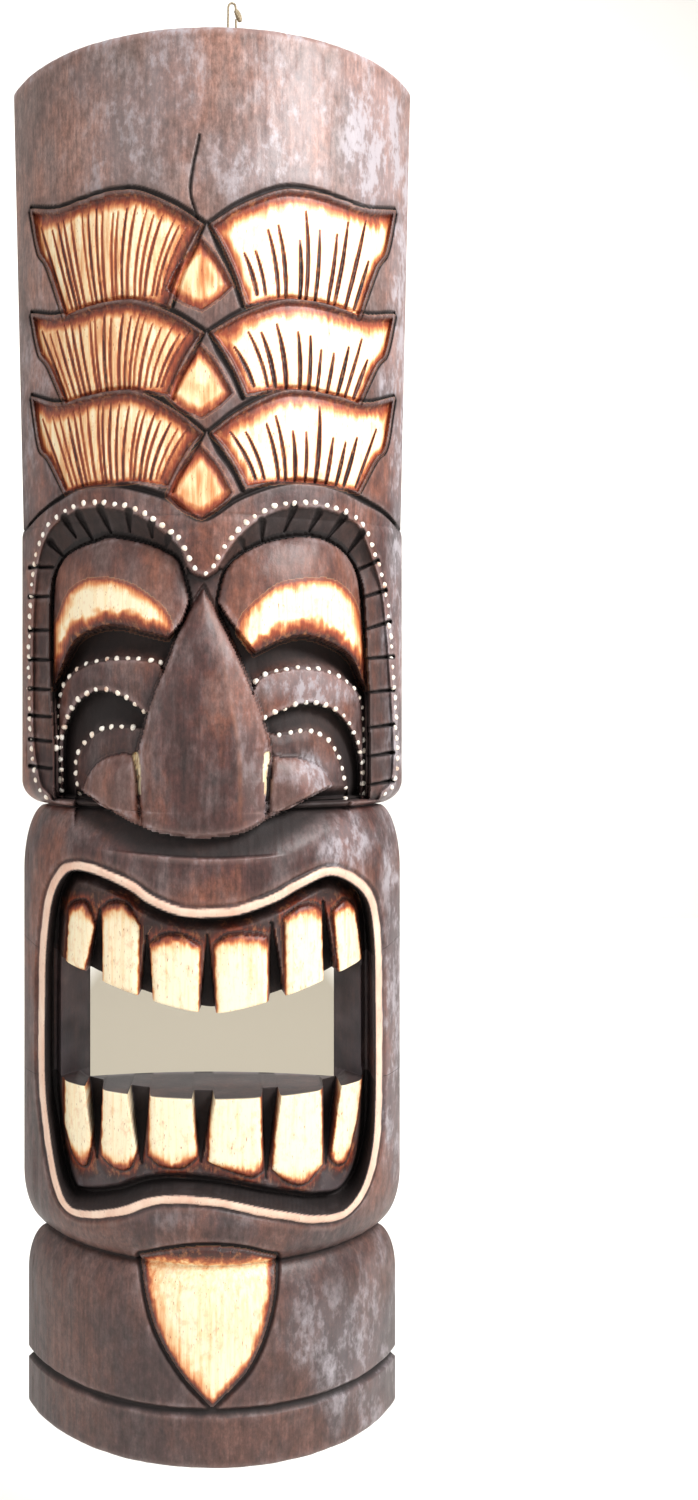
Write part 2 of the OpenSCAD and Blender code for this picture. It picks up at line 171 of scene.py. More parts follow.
class Log:
    """Grid of points over the round side of the log. Columns run from edge to edge at even
    angles about the pith. Rows run up, and bend to follow both edges of the mouth's hole.
    mid holds the hole's first row and the row past its last, hole holds the columns of its
    sides, and seams holds the rows where one piece of the log ends and the next begins."""

    def __init__(self, step):
        columns = int(363 / step)
        u = np.linspace(-1, 1, columns + 1)
        across = R_MOUTH * np.sin(u * math.acos(PITH_BACK / R_MOUTH))
        flat = np.zeros_like(across)
        slope = smooth((HOLE_X + 8 - np.abs(across)) / 8)
        sill = SILL_Z - slope * (7.5 - 3.5 * (1 - np.minimum(1, np.abs(across) / HOLE_X) ** 2))
        chin, jaw, gap, crown, top = (flat + z for z in SLICE_Z)
        bands = [(flat, chin), (chin, jaw), (sill, gap), (gap, arch(across) - 0.5),
                 (arch(across), flat + FACE_Z), (flat + FACE_Z, crown), (crown, top),
                 (top, flat + LOG_H)]
        hole, past_hole, joined_on = 2, 4, (1, 3, 5, 6, 7)
        rows, starts = [], [0]
        for k, (low, high) in enumerate(bands):
            count = max(2, round(float(np.mean(high - low)) / step))
            block = low + (high - low) * np.linspace(0, 1, count + 1)[:, None]
            rows.append(block[1:] if k in joined_on else block)
            starts.append(starts[-1] + len(rows[-1]))
        self.mid = [starts[hole], starts[past_hole]]
        self.seams = [0] + [starts[k] - 1 for k in (1, 3, 5, 6, 7, 8)]
        self.z = np.vstack(rows)
        self.r = profile(self.z)
        self.x = self.r * np.sin(u * np.arccos(PITH_BACK / self.r))
        self.base = PITH_BACK - np.sqrt(self.r**2 - self.x**2)
        self.lean = np.sqrt(self.r**2 - self.x**2) / self.r
        self.edge = 1 - np.abs(u)
        middle = self.x[self.mid[0]]
        self.hole = [int(np.argmin(np.abs(middle - x))) for x in (-HOLE_X, HOLE_X)]
        self.carve()
        self.shape()

    def rows_between(self, low, high):
        """Rows whose middle point lies between two heights."""
        centre = self.z[:, self.z.shape[1] // 2]
        keep = np.flatnonzero((centre > low) & (centre < high))
        return slice(keep[0], keep[-1] + 1)

    def carve(self):
        """Depth of the carving under the bark side, and the marks that the finish needs."""
        names = ("depth", "pale", "burn", "dark", "band", "grey", "wear_and_highlight", "bloom_and_sheen")
        self.marks = {name: np.zeros_like(self.z) for name in names}
        for work, low, high in ((feathers, 640, 925), (brow, 440, 705), (face, 425, 672),
                                (mouth, 140, 430), (chin, 0, 175), (crown_wear, 860, 1000),
                                (blooms_and_sheen, 0, 1000)):
            work(Patch(self, self.rows_between(low, high)))

    def shape(self):
        """Puts each point at the bark side plus the carving. The carving is measured square
        to the bark, so it is divided by the cosine of the bark's slope."""
        m, x, z = self.marks, self.x, self.z
        calm = smooth(self.edge / 0.03)
        tools = (0.35 * lumps(x, z, 13, 19, 1) + 0.22 * lumps(x, z, 5, 9, 2)
                 + 0.12 * lumps(x, z, 2.4, 30, 3))
        depth = m["depth"] + tools * (1 - 0.6 * m["pale"]) * calm
        y = self.base + depth / np.maximum(self.lean, 0.5)
        y = np.where(depth > 0, np.minimum(y, np.maximum(self.base, -BACK_WALL)), y)
        rows = slice(*self.mid)
        across = np.abs(x[rows])
        wall = -LIP_DEPTH * np.clip((across - HOLE_X) / (LIP_X - HOLE_X), 0, 1)
        wall = wall + 0.5 * lumps(x[rows], z[rows], 9, 14, 5) * smooth((across - HOLE_X) / 6)
        wall[:, self.hole[0]:self.hole[1] + 1] = 0
        y[rows] = np.where(across < LIP_X, np.maximum(y[rows], np.minimum(wall, 0)), y[rows])
        y[:, 0] = y[:, -1] = 0
        self.y = np.minimum(y, 0)
        # Edges that stand proud of their surroundings lose their stain first
        proud = np.clip((blurred(self.y, 4) - self.y) / 2.4, -1, 1)
        proud[self.mid[0] - 5:self.mid[1] + 5] = 0
        m["wear_and_highlight"] += proud * calm
        # Proud edges also take the mark of wax bloom and painted sheen.
        m["bloom_and_sheen"] += 0.5 * np.maximum(proud, 0) * calm
        m["grey"][rows] = np.maximum(m["grey"][rows], smooth((LIP_X - across) / 3))
        m["pale"][rows] = 0
        self.add_shelves()
        place = np.stack([self.x, self.y, self.z - LOG_H / 2], axis=-1)
        up = np.gradient(place, axis=0)
        along = np.gradient(place, axis=1)
        normal = np.cross(along, up)
        self.normal = normal / np.maximum(np.linalg.norm(normal, axis=-1, keepdims=True), 1e-9)
        self.place = place / 1000

    def add_shelves(self):
        """Fills the level faces that lead from the teeth back to the hole with rows of their
        own, close together at the front, where the pale ends of the teeth turn dark. The faces
        are painted shade, dark and grey."""
        from_front = np.array([0.015, 0.035, 0.06, 0.1, 0.16, 0.24, 0.34, 0.46, 0.6, 0.74, 0.88])
        # Painted shade on the shelves inside the mouth.
        painted_shade = {"dark": 0.72, "grey": 0.4}
        extra = len(from_front)
        for at, front, back, share in ((self.mid[1], 0, -1, from_front[::-1]),
                                       (self.mid[0], -1, 0, from_front)):
            share = share[:, None]
            for grids, keys in ((vars(self), ("x", "y", "z", "r")), (self.marks, self.marks)):
                for key in list(keys):
                    grid = grids[key]
                    rows = grid[at + front] * (1 - share) + grid[at + back] * share
                    if key == "pale":
                        rows = grid[at + front] * (1 - smooth(share / 0.05))
                    elif key in painted_shade:
                        rows = np.full_like(rows, painted_shade[key])
                    grids[key] = np.concatenate([grid[:at], rows, grid[at:]])
        first, last = self.mid
        self.seams = [k + extra * (int(k >= first) + int(k >= last)) for k in self.seams]
        self.mid = [first + extra, last + extra]

    def seat(self, x, z):
        """Point of the finished surface at x and z, in metres, and the way it faces."""
        rows = np.arange(self.seams[3], self.z.shape[0])
        j = np.interp(z, self.z[rows, self.z.shape[1] // 2], rows)
        j0 = np.clip(j.astype(int), rows[0], rows[-1] - 1)
        u = np.arcsin(np.clip(x / self.r[j0, 0], -1, 1)) / np.arccos(PITH_BACK / self.r[j0, 0])
        i = (u + 1) / 2 * (self.z.shape[1] - 1)
        i0 = np.clip(i.astype(int), 0, self.z.shape[1] - 2)
        a, b = (i - i0)[:, None], (j - j0)[:, None]

        def mixed(grid):
            """The grid's four nearest values, weighted by nearness."""
            low = grid[j0, i0] * (1 - a) + grid[j0, i0 + 1] * a
            high = grid[j0 + 1, i0] * (1 - a) + grid[j0 + 1, i0 + 1] * a
            return low * (1 - b) + high * b
        return mixed(self.place), mixed(self.normal)


def blurred(grid, reach):
    """Mean over a square of 2 * reach + 1 points, from running sums along both axes."""
    for axis in (0, 1):
        padded = np.concatenate([np.repeat(np.take(grid, [0], axis), reach + 1, axis), grid,
                                 np.repeat(np.take(grid, [-1], axis), reach, axis)], axis)
        sums = np.cumsum(padded, axis)
        size = grid.shape[axis]
        head = np.take(sums, np.arange(2 * reach + 1, 2 * reach + 1 + size), axis)
        tail = np.take(sums, np.arange(size), axis)
        grid = (head - tail) / (2 * reach + 1)
    return grid


class Patch:
    """Rows of the log that one part of the carving works on."""

    def __init__(self, log, rows):
        self.x, self.z = log.x[rows], log.z[rows]
        self.base, self.lean = log.base[rows], log.lean[rows]
        self.marks = {name: grid[rows] for name, grid in log.marks.items()}

    def __getattr__(self, name):
        return self.marks[name]

    def to(self, line, reach, closed=False):
        """Distance of these rows' points from a line, and the place along it."""
        return measure(self.x, self.z, line, reach, closed)

    def most(self, name, value):
        """A mark becomes the larger of itself and a value."""
        self.marks[name][...] = np.maximum(self.marks[name], value)

    def put(self, name, where, value):
        """A mark takes a value where a condition holds."""
        self.marks[name][...] = np.where(where, value, self.marks[name])

    def blend(self, name, value, share):
        """A mark goes over to a value by a share."""
        self.marks[name][...] = self.marks[name] * (1 - share) + value * share

    def on_trunk(self, radius, depth):
        """Depth under this log that lies as far under a trunk of another radius."""
        level = np.sqrt(radius**2 - self.x**2)
        return (PITH_BACK - level + depth * radius / level - self.base) * np.maximum(self.lean, 0.5)

    def cut(self, points, widths, depth, dark=1.0, burn=0.0):
        """Knife cut along a curve: V-shaped, with widths given from its start to its end."""
        line = curve(points)
        d, u = self.to(line, max(widths) / 2 + 1.5)
        half = np.interp(u, np.linspace(0, 1, len(widths)), widths) / 2
        into = np.clip(1 - d / np.maximum(half, 0.3), 0, 1) * (d < max(widths) / 2 + 1.4)
        self.depth[...] += depth * smooth(into * 1.4)
        # Marked dark over the cut and up to 0.9 mm past it: black stain in the cut and painted
        # shade over its walls.
        mark = smooth((half + 0.9 - d) / 1.2) * (half > 0.25)
        self.most("dark", dark * mark)
        self.most("burn", burn * mark)


# ---------------------------------------------------------------- crown

FEATHER_ROWS = ((862, 28, 47), (788, 26, 36), (719, 32, 31))   # tip height, lift, drop
FEATHER_MID = -4


def left_side(points):
    """Points mirrored to the left, where the feathers are a little narrower."""
    return [(FEATHER_MID - (x - FEATHER_MID) * 0.93, z) for x, z in points]


def feather_sides(tip, lift, drop):
    """Top, outer, bottom and inner side of a right feather."""
    k = drop / 47
    top = [(-1, tip + 1), (19, tip + 0.5 * lift), (47, tip + 0.95 * lift), (69, tip + 1.03 * lift),
           (91, tip + 0.98 * lift), (113, tip + 0.97 * lift), (136, tip + 1.3 * lift)]
    outer = [(136, tip + 1.3 * lift), (129, tip + 4), (120, tip - 12 * k), (106, tip - 1.1 * drop)]
    bottom = [(106, tip - 1.1 * drop), (91, tip - 1.03 * drop), (69, tip - drop),
              (47, tip - 1.02 * drop), (24, tip - 1.15 * drop)]
    inner = [(24, tip - 1.15 * drop), (20, tip - 43 * k), (14, tip - 27 * k), (6, tip - 10 * k),
             (-1, tip + 1)]
    return top, outer, bottom, inner


def feathers(p):
    """Three rows of two feathers with a diamond between them: shallow pale pockets with scorched
    borders, knife cuts round them, strands cut down them and painted shade above and beside them."""
    rng = np.random.default_rng(7)
    ragged = 1 + 0.22 * lumps(p.x, p.z, 6, 14, 11) + 0.12 * lumps(p.x, p.z, 2.5, 9, 12)
    for row, (tip, lift, drop) in enumerate(FEATHER_ROWS):
        for side in (1, -1):
            turn = (lambda q: q) if side > 0 else left_side
            top, outer, bottom, inner = (turn(s) for s in feather_sides(tip, lift, drop))
            d, _ = p.to(joined(top, outer, bottom, inner), 8, closed=True)
            d_top, _ = p.to(curve(top), 40)
            d_in, _ = p.to(curve(inner), 40)
            into = smooth(-d / 2.2)
            p.depth[...] += 3.6 * into - 2.0 * smooth((-d - 2) / 12)
            cover = smooth(0.5 - d / 1.2)
            edge = np.maximum(1 - d_top / (13 * ragged), 1 - (-d) / (5.5 * ragged))
            edge = np.maximum(edge, 1 - d_in / ((14 if side < 0 else 8) * ragged))
            burn = 0.74 * np.clip(edge, 0, 1) ** 0.85
            if side < 0:
                burn = np.maximum(burn, 0.10 + 0.14 * lumps(p.x, p.z, 5, 26, 20 + row))
            p.most("pale", cover)
            p.put("burn", d < 0.6, np.maximum(p.burn, burn))
            strands(p, rng, tip, lift, drop, side, turn)
            # Painted shade on the crown's wood just outside each feather's top and inner edges.
            beside = smooth(1.5 - d / 3.4) * (d > 0) * ((d_top < 7) | (d_in < 7))
            p.most("dark", beside * (1 - cover))
            gap = [(x, z + 2.9) for x, z in top]
            p.cut(gap, [3.2, 4.2, 4, 3, 2, 1.8] if side > 0 else [4, 4.4, 3.2, 3, 3, 2.6], 2.6)
            thin = [(x + side * 1.6, z) for x, z in outer]
            p.cut(thin, [2, 1.6, 1.6, 1], 1.4, 0.85 if side < 0 else 0.95)
            k = drop / 47
            spine = turn([(-3, tip + 3), (5, tip - 9 * k - 5), (14, tip - 27 * k - 6),
                          (21, tip - 46 * k - 8)])
            p.cut(spine, [3, 5.5, 5, 4] if side > 0 else [3, 4, 3.4, 3], 3.2)
        # Painted shade above each row: the stain darkens within 12 mm of the row's tops, outside
        # the pale wood.
        tops = feather_sides(tip, lift, drop)[0]
        shadow, _ = p.to(curve(left_side(tops)[::-1] + tops), 14)
        above = smooth(1 - shadow / 12) * (1 - p.pale)
        p.most("dark", 0.55 * above)
        diamond(p, tip, ragged)
    crack = [(-7, 998), (2, 985), (2, 970), (-3, 956), (-8, 935), (-9, 923), (-13, 904),
             (-15, 886), (-10, 868)]
    p.cut(crack, [1.6, 1.8, 2.4, 1.8, 2.4, 1.6], 2.4, 0.8)


def strands(p, rng, tip, lift, drop, side, turn):
    """Cuts that fan down a feather: fine and close on the left, few and deep on the right."""
    count = 19 if side < 0 else 11
    for n in range(count):
        a = (n + 0.5 + rng.uniform(-0.25, 0.25)) / count
        head = np.array([3 + 127 * a, tip - 5 + (0.5 + 0.62 * smooth(a * 2.2)) * lift - 3])
        foot = np.array([27 + 80 * a, tip - 0.95 * drop])
        start = rng.uniform(0.0, 0.12) if side < 0 else rng.uniform(0.02, 0.5)
        bow = (foot - head)[::-1] * np.array([0.06, 0.0]) * (1 - a)
        path = [head + (foot - head) * t - bow * 4 * t * (1 - t)
                for t in np.linspace(start, 1, 5)]
        if side < 0:
            wide = rng.uniform(1.3, 2.1)
            p.cut(turn(path), [0.6, wide, wide, wide * 0.9], 0.9, 0, rng.uniform(0.45, 0.72))
        else:
            wide = rng.uniform(1.6, 2.9)
            p.cut(turn(path), [0.5, wide * 0.7, wide, wide, wide * 0.7], 1.6, 0,
                  rng.uniform(0.74, 0.9))


def diamond(p, tip, ragged):
    """Kite with bowed lower sides, scorched round its border."""
    shape = joined([(-8, tip - 6), (4, tip - 21), (15, tip - 40)],
                   [(15, tip - 40), (6, tip - 49), (-7, tip - 58)],
                   [(-7, tip - 58), (-22, tip - 51), (-32, tip - 41)],
                   [(-32, tip - 41), (-24, tip - 25), (-8, tip - 6)])
    d, _ = p.to(shape, 8, closed=True)
    p.depth[...] += 3.0 * smooth(-d / 2) - 1.6 * smooth((-d - 2) / 9)
    p.most("pale", smooth(0.5 - d / 1.2))
    burn = 0.7 * np.clip(1 + d / (9.5 * ragged), 0, 1) ** 0.8
    p.put("burn", d < 0.6, np.maximum(burn, 0.08))


def crown_wear(p):
    """The top edge is painted lighter, a highlight of the light from above on its bevel.
    Elsewhere the crown has an orange rub mark."""
    # Painted highlight along the top edge.
    top = smooth((p.z - 991 + 2 * lumps(p.x, p.z, 14, 8, 31)) / 5)
    p.wear_and_highlight[...] += 1.2 * top
    p.bloom_and_sheen[...] += 0.6 * top
    rub = smooth(1.3 - np.hypot((p.x - 84) / 17, (p.z - 978) / 16))
    p.wear_and_highlight[...] += 2.0 * rub * smooth(0.6 + lumps(p.x, p.z, 9, 12, 32))


def blooms_and_sheen(p):
    """Cloudy places where wax built up or the light stain was left thin, and painted sheen."""
    for x, z, wide, tall, much in BLOOMS_AND_SHEEN:
        away = np.hypot((p.x - x) / wide, (p.z - z) / tall)
        ragged = 0.35 * lumps(p.x, p.z, 14, 20, int(z)) + 0.2 * lumps(p.x, p.z, 5, 8, int(x) + 200)
        p.bloom_and_sheen[...] += 0.6 * much * smooth(1.4 - away + ragged)


# ---------------------------------------------------------------- brow, eyes, cheeks and nose

BROW_LINE = [(-142, 664), (-127, 674), (-110, 682), (-94, 688), (-72, 688), (-50, 683), (-29, 675),
             (-7, 661), (19, 676), (47, 687), (69, 690), (91, 687), (111, 680), (128, 674),
             (142, 665)]
BROW_DOTS_LEFT = [(-5, 624), (-13, 628), (-18, 640), (-24, 648), (-33, 656), (-44, 664),
                  (-56, 670), (-73, 674.5), (-87, 676), (-101, 674), (-112, 669), (-121, 662),
                  (-128, 650), (-133, 633), (-136, 603), (-137, 570), (-137, 540), (-136, 505),
                  (-130, 474), (-122, 464)]
BROW_DOTS_RIGHT = [(1, 628), (7, 639), (18, 653), (33, 665), (50, 672), (73, 674.5), (88, 672.5),
                   (101, 668), (110, 661), (122, 635), (128, 617), (132, 590), (135, 560),
                   (138, 520), (139, 490), (136, 472), (128, 465)]
LID_TOP_LEFT = [(-15, 606), (-22, 632), (-33, 641), (-44, 646), (-58, 650), (-73, 652.5),
                (-84, 650), (-96, 647), (-108, 641), (-116, 628), (-118.5, 610), (-119, 580),
                (-118, 543)]
LID_TOP_RIGHT = [(3, 604), (9, 627), (23, 640), (44, 649), (70, 653), (89, 648), (102, 637),
                 (109, 620), (111.5, 595), (113, 565), (114.5, 543)]
LID_LOW_LEFT = [(-118, 543), (-111, 556), (-98, 578), (-81, 586), (-66, 587), (-47, 582),
                (-31, 578)]
LID_LOW_RIGHT = [(114.5, 543), (109, 550), (101, 565), (85, 575), (66, 580), (48, 576), (30, 567)]
PALE_TOP_LEFT = [(-118, 548), (-117.5, 588), (-113, 597), (-105, 613), (-92, 621), (-77, 622),
                 (-58, 617), (-44, 608), (-33, 598), (-28, 586), (-31, 578)]
PALE_TOP_RIGHT = [(114.5, 546), (111, 583), (104, 607), (89, 620), (70, 621), (48, 617), (34, 607),
                  (23, 597), (18, 586), (20, 574), (30, 567)]
ARC_A_LEFT = [(-36, 562), (-56, 565), (-80, 564), (-96, 559), (-108, 549), (-114, 532),
              (-114.5, 506), (-112, 468)]
ARC_B_LEFT = [(-48, 528), (-62, 538), (-79, 543.5), (-91, 540), (-102, 531), (-109, 517),
              (-112, 502), (-112, 468)]
ARC_C_LEFT = [(-56, 516), (-67, 517), (-82, 513), (-93, 504), (-99, 494), (-100, 481), (-98, 466)]
ARC_A_RIGHT = [(31, 549), (41, 555), (57, 558), (71, 558), (85, 556), (97, 550), (107, 541),
               (111.5, 528), (112.5, 506), (112.5, 466)]
ARC_B_RIGHT = [(38, 523), (49, 529), (65, 534), (74, 534), (85, 531), (95, 524), (103, 514),
               (108, 502), (111, 488), (111.5, 466)]
ARC_C_RIGHT = [(48, 511), (65, 514), (72, 513), (84, 507), (90, 498), (95, 486), (98, 472),
               (98, 463)]
NOSE_LEFT = [(-6, 616), (-15, 601), (-24, 584), (-33, 560), (-43, 536), (-50, 511), (-53, 497),
             (-52, 471), (-50, 447)]
NOSE_RIGHT = [(38, 452), (39, 473), (41, 500), (35, 525), (23, 556), (12, 581), (2, 601),
              (-6, 616)]
NOSE_FOOT = [(-95, 470), (-80, 461), (-58, 450), (-36, 443), (-8, 440), (19.5, 443), (41, 453),
             (62, 463), (88, 474.5)]
WING_LEFT = [(-54, 497), (-65, 498), (-80, 493), (-90, 482), (-95, 470)]
WING_RIGHT = [(88, 474.5), (78, 488), (62, 495), (48, 496), (42, 497)]
# Wax bloom and painted sheen, strongest on the right side: x, z, width, height and strength.
BLOOMS_AND_SHEEN = [(-62, 935, 34, 52, 1.0), (-22, 968, 20, 34, 0.9), (52, 935, 26, 62, 1.3),
          (20, 903, 30, 26, 1.0), (122, 940, 34, 70, 1.9), (142, 800, 18, 150, 1.6),
          (99, 431, 24, 20, 1.5), (76, 92, 24, 34, 0.9), (-126, 760, 20, 80, 0.8),
          (139, 560, 12, 110, 1.3), (136, 300, 13, 150, 1.3), (95, 60, 20, 40, 0.5),
          (0, 700, 60, 24, 0.4), (118, 60, 24, 60, 0.9), (72, 482, 18, 14, 1.4),
          (70, 546, 34, 14, 1.8), (0, 176, 90, 7, 0.3)]


def brow(p):
    """Groove along the foot of the crown with painted shade beside it, and the brow bands that
    slope from the beads down to the eyelids, with notches cut across them."""
    p.cut(BROW_LINE, [2, 3.5, 5, 5.5, 5, 4.5, 5, 5.5, 5, 3], 3.6)
    # Painted shade under the crown: the stain darkens within 9 mm of the brow groove, outside the
    # pale wood.
    shade, _ = p.to(curve(BROW_LINE), 16)
    p.most("dark", 0.5 * smooth(1 - shade / 9) * (1 - p.pale))
    edge = np.vstack([curve(BROW_DOTS_LEFT)[::-1], curve(BROW_DOTS_RIGHT),
                      [(126, 458), (-120, 458)]])
    s_edge, _ = p.to(edge, 40, closed=True)
    s_edge = s_edge + 2.6
    sockets = np.full(p.x.shape, 60.0)
    for top, foot in ((LID_TOP_LEFT, [(-116, 500), (-116, 462), (-20, 462)]),
                      (LID_TOP_RIGHT, [(114, 500), (114, 462), (10, 462)])):
        d, _ = p.to(np.vstack([curve(top), foot]), 60, closed=True)
        sockets = np.minimum(sockets, d)
    band = smooth(-s_edge / 1.2) * smooth(sockets / 0.8 + 0.5)
    across = np.clip(-s_edge / np.maximum(-s_edge + sockets, 0.1), 0, 1)
    high = smooth((p.z - 612) / 34)
    drop = (2.2 + 2.5 * across) * (1 - high) + (1.5 + 12.5 * across**0.8) * high
    drop = np.where((np.abs(p.x + 2) < 16) & (p.z < 628), 13.0, drop)
    p.put("depth", band > 0, p.depth + (drop - p.depth) * band)
    p.most("dark", band * (0.55 + 0.35 * high + 0.2 * (across > 0.8)))
    for path in notches():
        length = math.dist(path[0], path[1])
        if path[0][1] > WEDGE_Z:
            inward = 4 / length
            path = (tuple(a + (b - a) * inward for a, b in zip(*path)), path[1])
        wide = 6.5 if path[0][1] > WEDGE_Z else 3.2
        mid = ((path[0][0] + path[1][0]) / 2, (path[0][1] + path[1][1]) / 2)
        p.cut([path[0], mid, path[1]], [wide, wide * 0.62, wide * 0.25] if wide > 4
              else [3.4, 2.6, 2.4], 3.4 if length > 12 else 2.4, 1.0)


def notches():
    """Wedge notches over the eyes, then rungs down both sides."""
    right = [(19, 650, 23, 640), (35, 664, 35, 647), (59, 674, 51, 655), (78, 672, 69, 656),
             (97, 670, 82, 651), (111, 660, 99, 643), (122, 638, 105, 630), (129, 617, 109, 610),
             (133, 594, 112, 587)]
    left = [(-122, 655, -110, 642), (-109, 671, -99, 654), (-98, 673, -86, 651),
            (-81, 675, -72, 655), (-59, 671, -58, 655), (-43, 662, -42, 650),
            (-30, 652, -32, 643)]
    rungs = [(136, z, 115, z - 2) for z in (568, 543, 517, 496, 475)]
    rungs += [(-137, z, -118, z - 1) for z in (635, 613, 588, 566, 544, 524, 506, 486)]
    return [((a, b), (c, d)) for a, b, c, d in right + left + rungs]


def face(p):
    """Domed eyelids over dark crescents, folds of the cheeks, then nose and nostrils."""
    sockets(p)
    nose(p)


def sockets(p):
    """Depths by region: under the lid the hollow rises towards the first fold as a power of
    the share of the way there. The folds step down, and the lid is a dome whose height is a
    quarter circle of the distance from its top edge. Its lower edge is pale and scorched."""
    ragged = 1 + 0.3 * lumps(p.x, p.z, 7, 7, 41) + 0.2 * lumps(p.x, p.z, 3, 4, 42)
    for top, low, pale, arcs, inner in (
            (LID_TOP_LEFT, LID_LOW_LEFT, PALE_TOP_LEFT, (ARC_A_LEFT, ARC_B_LEFT, ARC_C_LEFT), -20),
            (LID_TOP_RIGHT, LID_LOW_RIGHT, PALE_TOP_RIGHT,
             (ARC_A_RIGHT, ARC_B_RIGHT, ARC_C_RIGHT), 12)):
        side = math.copysign(1, top[5][0])
        whole = np.vstack([curve(top), [(side * 115, 500), (side * 115, 463), (inner, 463)]])
        s_all, _ = p.to(whole, 10, closed=True)
        d_top, _ = p.to(curve(top), 60)
        d_low, _ = p.to(curve(low), 60)
        lid, _ = p.to(np.vstack([curve(top), curve(low), [(inner, 590)]]), 60, closed=True)
        fold = []
        for arc in arcs:
            loop = np.vstack([curve(arc), [(arc[-1][0], 455), (side * 20, 455), (side * 20, 520)]])
            s, _ = p.to(loop, 60, closed=True)
            d, _ = p.to(curve(arc), 60)
            fold.append((s, d))
        (s_a, d_a), (s_b, d_b), (s_c, d_c) = fold
        t = d_low / np.maximum(d_low + d_a, 0.1)
        depth = 27 - 11 * t**2.2
        dark = 1 - 0.35 * smooth((t - 0.55) / 0.4)
        t = d_a / np.maximum(d_a + d_b, 0.1)
        first = 14.6 - 1.2 * np.sin(np.pi * t)
        depth = np.where(s_a < 0, first, depth)
        dark = np.where(s_a < 0, 0.12, dark)
        t = d_b / np.maximum(d_b + d_c, 0.1)
        depth = np.where(s_b < 0, 15 + (12 - 9 * t**1.6) * smooth(-s_b / 1.3), depth)
        dark = np.where(s_b < 0, 1 - 0.25 * smooth((t - 0.7) / 0.3), dark)
        depth = np.where(s_c < 0, 17.5 - 1.5 * smooth(-s_c / 8), depth)
        dark = np.where(s_c < 0, 0.35, dark)
        dome = np.maximum(13.5 - 10.5 * quarter(d_top / 44), 3.2 + 8 * (1 - quarter(d_low / 11)))
        depth = np.where(lid < 0, dome, depth)
        dark = np.where(lid < 0, 0.25 * smooth(1 - d_top / 6), dark)
        p.wear_and_highlight[...] += 0.3 * smooth(-lid / 8)
        into = smooth(0.5 - s_all / 1.2)
        p.put("depth", s_all < 0.7, p.depth * (1 - into) + depth * into)
        p.put("dark", s_all < 0.2, dark)
        s_pale, _ = p.to(np.vstack([curve(pale), curve(low)[::-1]]), 12, closed=True)
        d_edge, _ = p.to(curve(pale), 20)
        cover = smooth(0.5 - s_pale / 1.6) * (lid < 1)
        p.most("pale", cover)
        rim = 1 - d_low / (13 * ragged * (0.5 + 0.5 * smooth((p.x * side + 4) / 60 + 0.2)))
        border = np.clip(1 - d_edge / (8 * ragged), 0, 1)
        burn = np.maximum(0.9 * np.clip(rim, 0, 1) ** 0.8, 0.5 * border)
        p.put("burn", cover > 0, burn)


def nose(p):
    """A wedge with a worn ridge that leans to the right, between two domed nostrils. Its foot
    stands out over the mouth block, with a painted shadow under it."""
    foot = curve(NOSE_FOOT)
    wedge = np.vstack([curve(NOSE_LEFT), curve([(-50, 447), (-36, 443), (-8, 440), (19.5, 443),
                                               (38, 452)]), curve(NOSE_RIGHT)])
    s, _ = p.to(wedge, 30, closed=True)
    d_foot, _ = p.to(foot, 30)
    d_side = np.minimum(p.to(curve(NOSE_LEFT), 30)[0], p.to(curve(NOSE_RIGHT), 30)[0])
    ridge = np.interp(p.z, [440, 472, 508, 543, 577, 612], [20, 19.5, 18, 11, 6, -3])
    depth = np.maximum(9 * (1 - quarter(d_side / 17)), 3.5 * (1 - quarter(d_foot / 8)))
    depth = np.maximum(depth, 0.42 * (p.x - ridge) * smooth((p.z - 462) / 40))
    depth = depth + 8.5 * smooth((p.z - 548) / 66) + 0.8 * smooth((ridge - p.x) / 45)
    into = smooth(0.5 - s / 1.1)
    under = smooth(1 - d_foot / 30) * (s > 0) * smooth((474 - p.z) / 10) * (np.abs(p.x) < 100)
    wings = []
    for side_line, rest in ((WING_LEFT, [(-80, 461), (-58, 450), (-50, 447), (-52, 471)]),
                            (WING_RIGHT, [(40, 473), (38, 452), (62, 463), (88, 474.5)])):
        loop = np.vstack([curve(side_line), rest])
        sw, _ = p.to(loop, 30, closed=True)
        dw, _ = p.to(curve(side_line), 30)
        dome = np.maximum(15 - 9.5 * quarter(dw / 20), 5 + 5 * (1 - quarter(d_foot / 8)))
        wings.append((sw, dome + 3.5 * smooth(1 - d_side / 5)))
    under = under * (wings[0][0] > 0) * (wings[1][0] > 0)
    # Painted shadow under the nose's foot: the cut-back wood there is marked almost black.
    p.depth[...] += 9 * under
    p.most("dark", 0.95 * smooth(under * 1.6))
    for sw, dome in wings:
        k = smooth(0.5 - sw / 1.1)
        p.blend("depth", p.on_trunk(R_FACE, dome), k)
        p.dark[...] *= 1 - k
        p.wear_and_highlight[...] += 0.35 * k
    p.blend("depth", p.on_trunk(R_FACE, depth), into)
    for name in ("dark", "pale"):
        p.blend(name, 0, into)
    line, _ = p.to(curve([(-4, 606), (6, 577), (11, 543), (18, 508), (19.5, 472), (19, 452)]), 8)
    p.wear_and_highlight[...] += 1.3 * smooth(1 - line / 2.6) * into * (0.6 + 0.5 * lumps(p.x, p.z, 5, 8, 44))
    # Painted highlight: the facet right of the ridge is lightened, as where the light falls.
    lit_facet = smooth((p.x - ridge) / 3) * into
    p.bloom_and_sheen[...] += 0.2 * lit_facet
    p.wear_and_highlight[...] += 0.3 * lit_facet
    for slit in ([(-54, 496), (-51.5, 484), (-51, 470)], [(39, 497), (37, 484), (37.5, 470)]):
        d, u = p.to(curve(slit), 5)
        k = smooth((2.0 * (1 - u) + 0.5 - d) / 0.8)
        p.most("pale", k)
        p.put("burn", k > 0, 0.04)
        p.depth[...] += 2.5 * k


# ---------------------------------------------------------------- mouth, chin and foot

